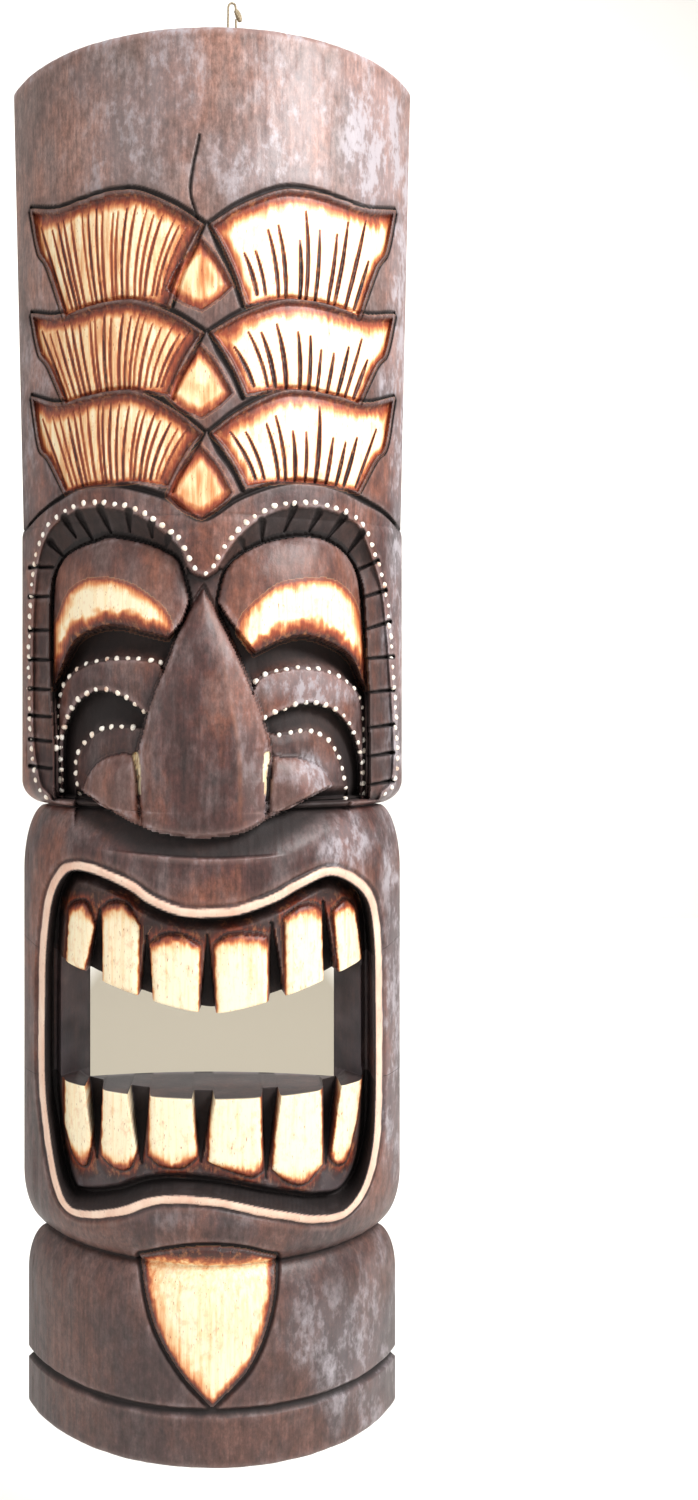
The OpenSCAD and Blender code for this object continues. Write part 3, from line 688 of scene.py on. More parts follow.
LIP = [(-98, 416.5), (-110, 410), (-120, 389), (-125, 351), (-126, 314), (-126, 255), (-122, 219),
       (-115, 185.5), (-105, 168.5), (-90.5, 168), (-64.5, 176), (-43, 186), (-22, 189), (5.5, 187),
       (33, 180), (54.5, 174), (73, 168.5), (95, 167), (111, 180), (120, 205), (123, 241),
       (123, 315), (122, 359), (117, 389), (103, 406), (84, 414), (62, 407), (44, 398), (19, 390),
       (-1, 388), (-22, 389), (-43, 396.5), (-57, 405.5), (-79, 414)]
UPPER_TEETH = [
    [(-109, 340), (-106, 384), (-100, 389), (-90, 389), (-83, 372), (-91, 338)],
    [(-80, 330), (-80, 386), (-72, 392), (-60, 391), (-50, 376), (-51, 324)],
    [(-43, 320), (-45, 364), (-34, 371), (-20, 371), (-7, 364), (-8, 310)],
    [(2, 310), (0, 364), (12, 372), (30, 372), (41, 370), (41, 320)],
    [(51, 320), (50, 382), (62, 390), (74, 390), (80, 384), (82, 330)],
    [(91, 332), (86, 384), (96, 391), (105, 384), (109, 363), (112, 340)]]
LOWER_TEETH = [
    [(-110, 262), (-110, 223), (-101, 200), (-90, 198), (-84, 226), (-91, 262)],
    [(-80, 262), (-81, 208), (-70, 200), (-58, 202), (-50, 222), (-57, 262)],
    [(-46, 262), (-46, 213), (-36, 206), (-20, 206), (-9, 215), (-11, 262)],
    [(-2, 262), (-4, 211), (10, 205), (28, 199), (37, 203), (36, 262)],
    [(46, 262), (41, 204), (54, 192), (68, 190), (81, 202), (80, 262)],
    [(92, 262), (84, 204), (90, 198), (99, 200), (108, 228), (113, 262)]]
UPPER_GAPS = [(-81, 384, -85, 336, 11), (-46, 368, -47, 320, 9), (-3, 370, -3, 310, 11),
              (42, 378, 46.5, 320, 10), (80, 390, 86, 330, 9)]
LOWER_GAPS = [(-83, 205, -85.5, 260, 12), (-50, 207, -52, 260, 15), (-8, 211, -6, 260, 15),
              (38, 198, 42, 260, 12), (82, 201, 87, 260, 12)]


def mouth(p):
    """Raised painted lips round a deep pocket with a plate of teeth above and below the
    hole. Gaps between the teeth are deep wedges."""
    d, _ = p.to(curve(LIP, closed=True), 30, closed=True)
    inner = d + 2.9
    far = np.abs(d)
    p.depth[...] += np.where(d > 0, 1.5 * smooth(1 - np.abs(d - 4.4) / 2.4), 0)
    p.depth[...] -= 0.8 * smooth(1 - far / 3.2)
    p.band[...] = smooth((3.0 + 0.5 * lumps(p.x, p.z, 6, 6, 51) * (d > 0) - far) / 0.9)
    upper = p.z > 300
    t = np.clip((-inner - 4) / 8, 0, 1)
    pocket = 24 - 10 * smooth(t)
    plate_dark = np.where(upper, 1 - 0.35 * t, 1 - 0.6 * smooth((-inner - 6) / 5))
    inside = smooth((-inner - 0.9) / 1.8)
    p.put("depth", inner < 0, p.depth * (1 - inside) + pocket * inside)
    p.put("dark", inner < 0.6, plate_dark * smooth(1 - inner / 0.6))
    p.put("grey", (inner < -4) & ~upper, 0.75 * (1 - smooth((p.z - 214) / 14)))
    p.bloom_and_sheen[...] += np.where((inner < -7) & ~upper, 0.5 * (1 - smooth((p.z - 200) / 10)), 0)
    p.wear_and_highlight[...] += 0.3 * smooth(1 - np.abs(d - 6) / 5) * (d > 3)
    p.put("dark", (d > 2.6) & (d < 5), np.maximum(p.dark, 0.35))
    rough = 1 + 0.3 * lumps(p.x, p.z, 5, 5, 52) + 0.25 * lumps(p.x, p.z, 2.2, 3, 53)
    tooth, root = np.full(p.x.shape, 24.0), np.zeros(p.x.shape)
    for teeth, way in ((UPPER_TEETH, 1), (LOWER_TEETH, -1)):
        for points in teeth:
            s, _ = p.to(joined(points[:2], points[1:5], points[4:6]), 24, closed=True)
            tip = max(way * z for _, z in points)
            root = np.where(s < tooth, way * p.z - tip + 12, root)
            tooth = np.minimum(tooth, s)
    k = smooth(0.5 - tooth / 1.4)
    p.blend("depth", 14 - 5.5 * quarter(-tooth / 7), k)
    halo = smooth(1.3 - tooth / (8.5 * rough)) * smooth(root / 10 + 0.5) * (tooth > 0)
    halo = halo * (inner < -4)
    charred = 0.5 + 0.5 * np.clip(tooth / (9 * rough), 0, 1)
    near_root = (0.75 - 0.6 * smooth(-tooth / (9 * rough))) * smooth(root / 12 + 0.35)
    near_side = 0.62 * (1 - smooth(-tooth / (3.0 * rough)))
    burn = np.where(tooth > 0, charred, np.maximum(near_root, near_side))
    cover = np.maximum(k, 0.95 * halo)
    touched = cover > 0.02
    p.most("pale", cover)
    p.put("burn", touched, burn)
    p.put("dark", touched, np.minimum(p.dark, 1 - cover))
    p.grey[...] *= 1 - cover
    for gaps in (UPPER_GAPS, LOWER_GAPS):
        for x0, z0, x1, z1, wide in gaps:
            dd, u = p.to(np.array([(x0, z0), (x1, z1)]), wide)
            half = 0.5 * wide * u**0.8 + 0.4
            k = smooth((half - dd) / 1.1 + 0.5)
            p.blend("depth", np.maximum(p.depth, 16 + 16 * smooth(u * 1.6)), k)
            for name in ("pale", "grey"):
                p.blend(name, 0, k)
            p.most("dark", k)
    # The open side walls of the hole are bluish black
    side = (np.abs(p.x) > 86) & (np.abs(p.x) < LIP_X) & (p.z > 256) & (p.z < arch(p.x) - 0.2)
    p.put("dark", side, 0.35 + 0.3 * lumps(p.x, p.z, 9, 9, 54))
    sill = (np.abs(p.x) < LIP_X) & (p.z > 246) & (p.z <= 258)
    p.put("grey", sill & (p.pale < 0.3), 0.6)


TONGUE = [(-49.5, 143), (-30, 150), (-8, 154), (19, 152), (44, 143), (42, 118), (35, 91), (23, 68),
          (0, 45), (-19, 65), (-36, 91), (-45, 118)]


def chin(p):
    """Tongue: a pale leaf with a ridge down its middle and a cut all round, on a plain chin
    above a grooved foot."""
    loop = joined(TONGUE[:5], TONGUE[4:9], TONGUE[8:] + TONGUE[:1])
    s, _ = p.to(loop, 14, closed=True)
    ragged = 1 + 0.3 * lumps(p.x, p.z, 6, 8, 61) + 0.25 * lumps(p.x, p.z, 2.4, 4, 62)
    k = smooth(0.5 - s / 1.4)
    ridge = np.clip(1 - np.abs(p.x + 3) / 42, 0, 1)
    rise = 0.5 + 2.4 * quarter(-s / 6) * smooth(ridge * 1.4)
    p.depth[...] += 3.4 * smooth(1 - np.abs(s - 2.4) / 3.2) * (s > 0)
    p.blend("depth", -rise, k)
    p.most("pale", k)
    burn = 0.85 * np.clip(1 + s / (7 * ragged), 0, 1) ** 1.3
    burn = np.maximum(burn, 0.36 * np.clip(1 + s / (15 * ragged), 0, 1) * smooth((8 - p.x) / 12))
    burn = np.maximum(burn, 0.8 * np.clip(1 - (150 - p.z) / (14 * ragged), 0, 1))
    p.put("burn", s < 1, np.maximum(burn, 0.04))
    p.most("dark", 0.95 * smooth(1 - np.abs(s - 2.2) / 3.4) * (s > 0))
    groove = np.abs(p.z - GROOVE_Z)
    p.most("dark", smooth(1.25 - groove / (3.4 + lumps(p.x, p.z, 9, 40, 63))))
    seam = smooth(1 - np.abs(p.z - MOUTH_Z - 1) / 5) * (s > 1)
    p.most("dark", 0.75 * seam)


# ---------------------------------------------------------------- meshes

def put_mesh(name, verts, faces, material, normals=None, uv=None, marks=None, plain=None):
    """Mesh object at the origin. normals and uv are per face corner, marks per vertex. The
    last faces take a second material: plain is how many, and that material."""
    mesh = bpy.data.meshes.new(name)
    mesh.from_pydata(np.asarray(verts).tolist(), [], faces)
    mesh.polygons.foreach_set("use_smooth", [True] * len(mesh.polygons))
    mesh.materials.append(material)
    if plain:
        mesh.materials.append(plain[1])
        slots = np.zeros(len(faces), np.int32)
        slots[-plain[0]:] = 1
        mesh.polygons.foreach_set("material_index", slots)
    for key, grid in (marks or {}).items():
        mark = mesh.attributes.new(key, "FLOAT", "POINT")
        mark.data.foreach_set("value", np.asarray(grid, np.float32))
    if uv is not None:
        mesh.uv_layers.new(name="OFBake").data.foreach_set("uv", np.asarray(uv, np.float32).ravel())
    if normals is not None:
        mesh.normals_split_custom_set(np.asarray(normals).tolist())
    mesh.update()
    thing = bpy.data.objects.new(name, mesh)
    bpy.context.scene.collection.objects.link(thing)
    return thing


def log_piece(log, name, first, last, material, sawn):
    """Closed slice of the log between two rows: the carved side, the sawn back and both end
    faces. A slice that meets the mouth's hole is open there, with walls from the grid."""
    wide = log.z.shape[1]
    index = np.arange(first * wide, (last + 1) * wide).reshape(-1, wide)
    a, b = index[:-1, :-1], index[:-1, 1:]
    quads = np.stack([a, b, index[1:, 1:], index[1:, :-1]], axis=-1)
    left, right = log.hole
    rows = np.arange(first, last)
    open_rows = (rows >= log.mid[0]) & (rows < log.mid[1] - 1)
    keep = np.ones(quads.shape[:2], bool)
    keep[np.ix_(open_rows, range(left, right))] = False
    front = quads[keep]
    low, high = index[0], index[-1]
    if first < log.mid[0] < last < log.mid[1]:        # jaw below the hole
        c = log.mid[0] - first
        hole = list(index[c:, left][::-1]) + list(index[c, left + 1:right]) + list(index[c:, right])
        back = list(index[:, 0]) + hole + list(index[::-1, -1])
        caps = [low[::-1], high[:left + 1], high[right:]]
    elif log.mid[0] < first < log.mid[1] < last:      # jaw above the hole
        d = log.mid[1] - first
        hole = (list(index[:d, right]) + list(index[d - 1, left + 1:right][::-1])
                + list(index[:d, left][::-1]))
        back = list(index[:, 0]) + list(index[::-1, -1]) + hole
        caps = [low[:left + 1][::-1], low[right:][::-1], high]
    else:
        back = list(index[:, 0]) + list(index[::-1, -1])
        caps = [low[::-1], high]
    flats = [back] + [list(cap) for cap in caps]
    used = np.unique(np.concatenate([front.ravel()] + [np.asarray(f) for f in flats]))
    place = np.zeros(log.z.size, int)
    place[used] = np.arange(len(used))
    faces = place[front].tolist() + [place[np.asarray(f)].tolist() for f in flats]
    verts = log.place.reshape(-1, 3)[used]
    # Unwrapped: the carved side on the left of the map, the flat faces in a strip on its right
    normals = [log.normal.reshape(-1, 3)[front.ravel()]]
    columns, heights = np.arange(log.z.size) % wide, np.arange(log.z.size) // wide
    around = np.stack([0.78 * columns / (wide - 1), (heights - first) / (last - first)], -1)
    uv = [around[front.ravel()]]
    x, y, z = log.x.ravel(), log.y.ravel(), log.z.ravel()
    for flat in map(np.asarray, flats):
        upper = flat[0] == high[0] or flat[-1] == high[-1]
        if len(normals) == 1:
            way, up = (0, 1, 0), 0.7 * (z[flat] - z[low[0]]) / max(1, z[high[0]] - z[low[0]])
        else:
            way, up = (0, 0, 1 if upper else -1), (0.87 if upper else 0.72) - 0.0012 * y[flat]
        normals.append(np.repeat([way], len(flat), axis=0))
        uv.append(np.stack([0.8 + 0.19 * (0.5 + x[flat] / 320), up], -1))
    marks = {key: grid.ravel()[used] for key, grid in log.marks.items()}
    return put_mesh(name, verts, faces, material, np.concatenate(normals), np.concatenate(uv),
                    marks, (len(flats), sawn))


def along(line, gap):
    """Points at even distances, about a gap apart, along a curve."""
    line = curve(line, 12)
    runs = np.concatenate([[0], np.cumsum(np.hypot(*np.diff(line, axis=0).T))])
    s = np.linspace(0, runs[-1], int(runs[-1] / gap) + 1)
    return np.stack([np.interp(s, runs, line[:, 0]), np.interp(s, runs, line[:, 1])], -1)


def paint_beads(log, name, spots, size, seed, material):
    """Domes of thick paint on the surface: each point is the bead's seat plus two directions
    along the surface and one out of it, the dome's height falling as the square root of one
    minus the squared distance from its middle. Beads differ in size, outline and height."""
    rng = np.random.default_rng(seed)
    spots = spots + rng.normal(0, 0.35, spots.shape)
    seat, way = log.seat(spots[:, 0], spots[:, 1])
    way = way + np.array([0, -0.6, 0])
    way /= np.linalg.norm(way, axis=1, keepdims=True)
    side = np.cross(way, [0, 0, 1.0])
    side /= np.linalg.norm(side, axis=1, keepdims=True)
    lift = np.cross(side, way)
    rings, spokes = 5, 12
    polar = np.linspace(0.12, 1, rings)
    angle = np.arange(spokes) * 2 * math.pi / spokes
    count = len(spots)
    radius = size / 2000 * rng.uniform(0.78, 1.12, (count, 1, 1))
    wobble = (1 + 0.09 * np.sin(2 * angle + rng.uniform(0, 6, (count, 1, 1)))
              + 0.05 * np.sin(3 * angle + rng.uniform(0, 6, (count, 1, 1))))
    reach = radius * wobble * polar[None, :, None]
    domed, sunk = 0.75, 0.0003
    height = radius * domed * np.sqrt(np.maximum(0, 1 - polar**2))[None, :, None] - sunk
    points = (seat[:, None, None, :]
              + side[:, None, None, :] * (reach * np.cos(angle))[..., None]
              + lift[:, None, None, :] * (reach * np.sin(angle))[..., None]
              + way[:, None, None, :] * height[..., None])
    top = seat + way * (radius[:, 0] * domed - sunk)
    base = seat - way * 0.0012
    verts = np.concatenate([points.reshape(count, -1, 3), top[:, None], base[:, None]], axis=1)
    n = rings * spokes
    ring = np.arange(n).reshape(rings, spokes)
    turned = np.roll(ring, -1, axis=1)
    quads = np.stack([ring[:-1], turned[:-1], turned[1:], ring[1:]], -1).reshape(-1, 4)
    caps = np.stack([turned[0], ring[0], np.full(spokes, n)], -1)
    foot = np.stack([ring[-1], turned[-1], np.full(spokes, n + 1)], -1)
    step = n + 2
    faces = []
    for k in range(count):
        for part in (quads, caps, foot):
            faces += (part + k * step).tolist()
    return put_mesh(name, verts.reshape(-1, 3), faces, material)


def laid_tube(name, path, radius, strands, pitch, sides, material):
    """Twine: a tube whose cross-section has one lobe per strand, turned steadily along the
    path, so the lobes wind round it. The radius is the larger of the strands' circles."""
    path = np.asarray(path, float)
    ahead = np.gradient(path, axis=0)
    ahead /= np.linalg.norm(ahead, axis=1, keepdims=True)
    out = np.cross(ahead, [0, 1.0, 0])
    out /= np.maximum(np.linalg.norm(out, axis=1, keepdims=True), 1e-9)
    other = np.cross(ahead, out)
    run = np.concatenate([[0], np.cumsum(np.linalg.norm(np.diff(path, axis=0), axis=1))])
    angle = np.arange(sides) * 2 * math.pi / sides
    phase = angle[None, :] - 2 * math.pi * run[:, None] / pitch
    lobes = 0.8 + 0.2 * np.abs(np.cos(strands / 2 * phase))
    reach = radius * lobes * (1 + 0.05 * np.sin(7 * phase + run[:, None] * 3000))
    ends = np.minimum(run, run[-1] - run) / (radius * 1.2)
    reach = reach * np.maximum(0.35, quarter(ends[:, None]))
    verts = (path[:, None] + out[:, None] * (reach * np.cos(angle))[..., None]
             + other[:, None] * (reach * np.sin(angle))[..., None]).reshape(-1, 3)
    index = np.arange(len(verts)).reshape(len(path), sides)
    turned = np.roll(index, -1, axis=1)
    faces = np.stack([index[:-1], turned[:-1], turned[1:], index[1:]], -1).reshape(-1, 4).tolist()
    faces += [index[0][::-1].tolist(), index[-1].tolist()]
    return put_mesh(name, verts, faces, material)


# ---------------------------------------------------------------- finishes

def linear(colour):
    """sRGB hex colour to linear RGBA."""
    parts = [int(colour[k:k + 2], 16) / 255 for k in (1, 3, 5)]
    return tuple(c / 12.92 if c <= 0.04045 else ((c + 0.055) / 1.055) ** 2.4 for c in parts) + (1,)


def add(tree, kind, values=(), out=0, stops=(), **settings):
    """Adds a node and returns one of its outputs. kind is the node's kind and, after a space,
    its operation or blend type. values fill its sockets by name, or in order, each with a
    number, a hex colour or another node's output. stops are a ramp's places and colours."""
    kind, _, mode = kind.partition(" ")
    node = tree.nodes.new("ShaderNode" + kind)
    if kind == "Mix":         # its colours are sockets 0, 6 and 7, and it gives one from 2
        settings.update(data_type="RGBA", blend_type=mode or "MIX")
        values, out = dict(zip((0, 6, 7), values)), 2
    elif mode:
        settings["operation"] = mode
    for key, value in settings.items():
        setattr(node, key, value)
    for key, value in (values.items() if isinstance(values, dict) else enumerate(values)):
        if isinstance(value, bpy.types.NodeSocket):
            tree.links.new(value, node.inputs[key])
        else:
            node.inputs[key].default_value = linear(value) if isinstance(value, str) else value
    while stops and len(node.color_ramp.elements) < len(stops):
        node.color_ramp.elements.new(0.5)
    for k, (place, colour) in enumerate(stops):
        node.color_ramp.elements[k].position = place
        node.color_ramp.elements[k].color = linear(colour)
    return node.outputs[out]


def finish_of(name, base="#ffffff", roughness=0.5, **sockets):
    """New material with its shader; returns the material, its tree and the shader's sockets."""
    material = bpy.data.materials.new(name)
    material.use_nodes = True
    tree = material.node_tree
    shader = tree.nodes["Principled BSDF"].inputs
    shader["Base Color"].default_value = linear(base)
    shader["Roughness"].default_value = roughness
    for key, value in sockets.items():
        shader[key].default_value = value
    return material, tree, shader


def grain(tree, place, wide, tall, detail=3.0, rough=0.55):
    """Noise whose spots are about wide by wide by tall millimetres."""
    size = add(tree, "Mapping", {"Vector": place, "Scale": (1000 / wide, 1000 / wide, 1000 / tall)})
    return add(tree, "TexNoise", {"Vector": size, "Scale": 1.0, "Detail": detail,
                                  "Roughness": rough}, "Fac")


def stained_wood(colours):
    """Albesia, stained dark brown with a thin waxy finish, rubbed back in patches. Pale places
    are bare wood scorched with a torch: cream, then orange, then brown at the border. The
    pores are short dark ticks along the grain, drawn coarser than the real ones to show."""
    material, tree, shader = finish_of("dark_stained_albesia", roughness=0.45)
    place = add(tree, "TexCoord", out="Object")
    height = add(tree, "SeparateXYZ", [place], "Z")
    mark = {name: add(tree, "Attribute", out="Fac", attribute_name=name)
            for name in ("pale", "burn", "dark", "band", "grey", "wear_and_highlight", "bloom_and_sheen")}
    patches = grain(tree, place, 60, 110, 5, 0.65)
    clouds = grain(tree, place, 20, 42, 5, 0.65)
    mottle = grain(tree, place, 5, 8, 4, 0.65)
    streaks = grain(tree, place, 2.4, 45, 4, 0.6)
    specks = grain(tree, place, 1.6, 2.6, 3, 0.7)
    pores = grain(tree, place, 1.1, 4.5, 2, 0.5)

    def over(share, under, top, much=1.0):
        """Lays one colour over another by a share, or by much of it."""
        if much != 1:
            share = add(tree, "Math MULTIPLY", (share, much))
        return add(tree, "Mix", (share, under, top))

    # Stain: patches of four browns, ash, a lighter crown and a greyer chin
    stain = add(tree, "ValToRGB", [patches], stops=[
        (0.30, colours["deep"]), (0.46, colours["stain"]), (0.58, colours["warm"]),
        (0.74, colours["rubbed"])])
    ashen = add(tree, "Math MULTIPLY_ADD", (clouds, 3.0, -1.35), use_clamp=True)
    stain = over(ashen, stain, colours["ash"], 0.6)
    lighter = add(tree, "Mix SCREEN", (1.0, stain, colours["lift"]))
    for low, high, top, much in ((0.16, 0.40, lighter, 0.8), (-0.28, -0.37, colours["chin"], 0.55)):
        share = add(tree, "MapRange", {"Value": height, "From Min": low, "From Max": high},
                    interpolation_type="SMOOTHSTEP")
        stain = over(share, stain, top, much)
    for field, swing in ((streaks, 1.3), (specks, 1.2), (mottle, 1.9)):
        shade = add(tree, "Math MULTIPLY_ADD", (field, swing, 1 - swing / 2))
        stain = add(tree, "Mix MULTIPLY", (1.0, stain, shade))
    # Wear and painted highlights: edges lose their stain and hollows keep more of it,
    # then wax blooms, with painted sheen, in flakes
    rubbed = add(tree, "Math MULTIPLY_ADD", (clouds, 1.4, -0.2))
    rubbed = add(tree, "Math MULTIPLY", (mark["wear_and_highlight"], rubbed), use_clamp=True)
    rubbed = add(tree, "Math MULTIPLY", (rubbed, 0.6), use_clamp=True)
    stain = over(rubbed, stain, colours["wear_and_highlight"])
    hollow = add(tree, "Math MULTIPLY", (mark["wear_and_highlight"], -0.75), use_clamp=True)
    stain = over(hollow, stain, colours["black"])
    flakes = [add(tree, "Math MULTIPLY", pair) for pair in ((clouds, 4.5), (mottle, 3.5))]
    flakes = add(tree, "Math ADD", flakes)
    flakes = add(tree, "Math MULTIPLY_ADD", (flakes, 1.0, -3.9), use_clamp=True)
    wash = add(tree, "Math MULTIPLY", (mark["bloom_and_sheen"], 0.3))
    bloom_and_sheen = add(tree, "Math MULTIPLY_ADD", (mark["bloom_and_sheen"], flakes, wash), use_clamp=True)
    stain = over(bloom_and_sheen, stain, colours["bloom_and_sheen"], 0.85)
    gums = over(clouds, colours["slate"], colours["smoke"])
    stain = over(mark["grey"], stain, gums, 0.7)
    # Black over the dark mark: black stain, with painted shade in the cuts, round the feathers,
    # along the brow, under the nose and on the mouth's shelves.
    stain = over(mark["dark"], stain, colours["black"], 0.93)
    # Bare wood: from cream to charred by how much it was burnt, spotted with pores
    burnt = add(tree, "Math MULTIPLY_ADD", (clouds, 0.20, mark["burn"]))
    uneven = add(tree, "Math MULTIPLY_ADD", (streaks, 0.5, -0.33))
    bare = add(tree, "ValToRGB", [add(tree, "Math ADD", (burnt, uneven))], stops=[
        (0.02, colours["cream"]), (0.15, colours["bare"]), (0.30, colours["honey"]),
        (0.46, colours["scorch"]), (0.70, colours["char"]), (0.95, colours["black"])])
    tint = add(tree, "Math MULTIPLY_ADD", (mottle, 5.0, -2.6), use_clamp=True)
    bare = over(tint, bare, colours["honey"], 0.45)
    pore = add(tree, "MapRange", {"Value": pores, "From Min": 0.66, "From Max": 0.74})
    bare = over(pore, bare, colours["scorch"], 0.8)
    thin = add(tree, "Math MULTIPLY_ADD", (clouds, 1.8, -0.45), use_clamp=True)
    painted = over(thin, colours["lip"], colours["lip_worn"])
    painted = over(pore, painted, colours["char"], 0.5)
    colour = over(mark["band"], over(mark["pale"], stain, bare), painted)
    tree.links.new(colour, shader["Base Color"])
    gloss = add(tree, "Math MULTIPLY_ADD", (clouds, 0.3, 0.30))
    gloss = add(tree, "Math MULTIPLY_ADD", (mark["dark"], 0.3, gloss))
    tree.links.new(gloss, shader["Roughness"])
    relief = add(tree, "Math MULTIPLY", (specks, 0.7))
    relief = add(tree, "Math MULTIPLY_ADD", (streaks, 0.6, relief))
    bump = add(tree, "Bump", {"Height": relief, "Strength": 0.35, "Distance": 0.0006})
    tree.links.new(bump, shader["Normal"])
    return material


def sawn_wood(colours):
    """Bare albesia as the saw left it: growth rings about the pith, which run as lines down
    the back and as arcs over the ends, with fine pores and a thin wipe of stain."""
    material, tree, shader = finish_of("sawn_albesia", roughness=0.75)
    place = add(tree, "TexCoord", out="Object")
    ring = 0.003              # distance from one growth ring's light wood to its dark wood
    axis = add(tree, "VectorMath SUBTRACT", (place, (0, PITH_BACK / 1000, 0)))
    axis = add(tree, "VectorMath MULTIPLY", (axis, (1, 1, 0.02)))
    far = add(tree, "VectorMath LENGTH", [axis], "Value")
    far = add(tree, "Math MULTIPLY_ADD", (grain(tree, place, 60, 240, 3), 0.012, far))
    late = add(tree, "Math PINGPONG", (far, ring))
    late = add(tree, "Math MULTIPLY", (late, 1 / ring))
    colour = add(tree, "ValToRGB", [late], stops=[
        (0.0, colours["sawn"]), (0.8, colours["late"]), (1.0, colours["sawn"])])
    fibres = add(tree, "Math MULTIPLY_ADD", (grain(tree, place, 1.5, 40), 0.8, 0.55))
    colour = add(tree, "Mix MULTIPLY", (1.0, colour, fibres))
    soil = grain(tree, place, 50, 80, 4)
    soil = add(tree, "Math MULTIPLY_ADD", (soil, 2.2, -0.8), use_clamp=True)
    colour = add(tree, "Mix", (soil, colour, colours["warm"]))
    tree.links.new(colour, shader["Base Color"])
    return material


def shaded_floor():
    """White studio floor with a painted shadow: a soft warm grey patch behind the mask. It
    gives the mouth's hole the tone of a wall in the mask's shadow."""
    material, tree, shader = finish_of("studio_white_painted_shadow", roughness=0.9)
    place = add(tree, "TexCoord", out="Object")
    pool = add(tree, "Mapping", {"Vector": place, "Location": (0, -2.3, -FLOOR_Z)},
               vector_type="POINT")
    pool = add(tree, "VectorMath MULTIPLY", (pool, (1 / 0.45, 1 / 1.6, 0)))
    far = add(tree, "VectorMath LENGTH", [pool], "Value")
    # Painted shadow: warm grey in an oval behind the mask, fading to white further out.
    painted_shadow = add(tree, "ValToRGB", [far], stops=[(0.7, "#9d9585"), (0.95, "#f7f5f0")])
    tree.links.new(painted_shadow, shader["Base Color"])
    return material


def speckled(name, size, stops, **sockets):
    """New material whose colour wanders between a few tones. size is the spots' width, height
    and detail."""
    material, tree, shader = finish_of(name, **sockets)
    noise = grain(tree, add(tree, "TexCoord", out="Object"), *size)
    tree.links.new(add(tree, "ValToRGB", [noise], stops=stops), shader["Base Color"])
    return material, tree, shader, noise


def white_paint():
    """Thick matt acrylic paint, dotted on with a stick: warm white, slightly soiled."""
    tones = [(0.35, "#fffaf0"), (0.6, "#f4e3d0"), (0.72, "#c9977c")]
    return speckled("white_acrylic_paint", (9, 9), tones)[0]


def zinc_steel():
    """Bright zinc plated steel wire, dulled by handling."""
    tones = [(0.3, "#8f8f8c"), (0.7, "#c4c3bd")]
    return speckled("bright_zinc_plate", (3, 3), tones, roughness=0.34, Metallic=1.0)[0]


def hemp_twine():
    """Undyed hemp: dull grey-brown, with pale fibres and dark gaps between the strands."""
    tones = [(0.3, "#5f5244"), (0.5, "#97866c"), (0.72, "#d3c5a4")]
    material, tree, shader, fibre = speckled("natural_hemp", (0.5, 1.4, 3, 0.7), tones,
                                             roughness=0.85)
    bump = add(tree, "Bump", {"Height": fibre, "Strength": 0.6, "Distance": 0.0003})
    tree.links.new(bump, shader["Normal"])
    return material


# ---------------------------------------------------------------- settings

def colour_setting(name, about, colour):
    """Setting for one colour, as a hex value."""
    return bpy.props.StringProperty(name=name, description=about, default=colour)


class TikiSizes(bpy.types.PropertyGroup):
    """Sizes that can be changed before building."""
    grid: bpy.props.FloatProperty(
        name="Carving detail", description="Distance between points of the carved surface, in mm",
        default=0.95, min=0.6, max=4.0)
    bead: bpy.props.FloatProperty(
        name="Bead", description="Diameter of a bead of white paint, in mm",
        default=4.4, min=2.0, max=6.0)
    bead_gap: bpy.props.FloatProperty(
        name="Bead spacing", description="Distance between beads along a line, in mm",
        default=7.6, min=5.0, max=14.0)
    twine: bpy.props.FloatProperty(
        name="Twine", description="Diameter of the hanging twine", default=0.0016,
        min=0.0012, max=0.0018, unit="LENGTH", subtype="DISTANCE")


class TikiColours(bpy.types.PropertyGroup):
    """Colours of the finishes, as sRGB hex values."""
    deep: colour_setting("Deep stain", "Darkest patches of the stain", "#2b1a18")
    stain: colour_setting("Stain", "Usual colour of the stain", "#4b2d29")
    warm: colour_setting("Warm stain", "Reddish patches of the stain", "#704334")
    rubbed: colour_setting("Rubbed stain", "Stain rubbed back with a cloth", "#8a6257")
    ash: colour_setting("Ash", "Greyish bloom over the stain", "#756a69")
    lift: colour_setting("Crown", "How much lighter the crown is", "#6e5a52")
    # This colour also paints highlights on the crown's top edge and the nose's right facet.
    wear_and_highlight: colour_setting("Worn edge", "Wood where edges lost their stain", "#9a6650")
    chin: colour_setting("Chin stain", "Greyer stain of the chin and foot", "#3f3332")
    # This colour also paints sheen, mostly down the right side.
    bloom_and_sheen: colour_setting("Bloom", "Cloudy wax on flat and high places", "#aea6ab")
    sawn: colour_setting("Sawn wood", "Early wood on the sawn faces", "#a98a6b")
    late: colour_setting("Late wood", "Late wood on the sawn faces", "#8a6a50")
    # The black also paints shade: in the cuts, round the feathers, along the brow, under the nose
    # and on the mouth's shelves.
    black: colour_setting("Black", "Black stain in cuts and hollows", "#1b1312")
    slate: colour_setting("Slate", "Grey on the gums", "#6a6062")
    smoke: colour_setting("Smoke", "Bluish black on the walls of the hole", "#3a3940")
    cream: colour_setting("Cream", "Bare pale wood", "#fff0cd")
    bare: colour_setting("Bare wood", "Bare wood, slightly warmed", "#f8d6a3")
    honey: colour_setting("Honey", "First scorching", "#dc8f58")
    scorch: colour_setting("Scorch", "Orange scorching", "#9c472a")
    char: colour_setting("Char", "Dark scorching", "#4f2118")
    lip: colour_setting("Lips", "Paint on the lips", "#f6dcc6")
    lip_worn: colour_setting("Worn lips", "Paint where it wore off the lips", "#dba58c")


def settings():
    """The scene's sizes and colours."""
    scene = bpy.context.scene
    return scene.tiki_sizes, scene.tiki_colours


def palette():
    """The colour settings by name."""
    colours = settings()[1]
    return {key: getattr(colours, key) for key in TikiColours.__annotations__}


def material_for(name, maker, *values):
    """Material of this name, made once."""
    return bpy.data.materials.get(name) or maker(*values)


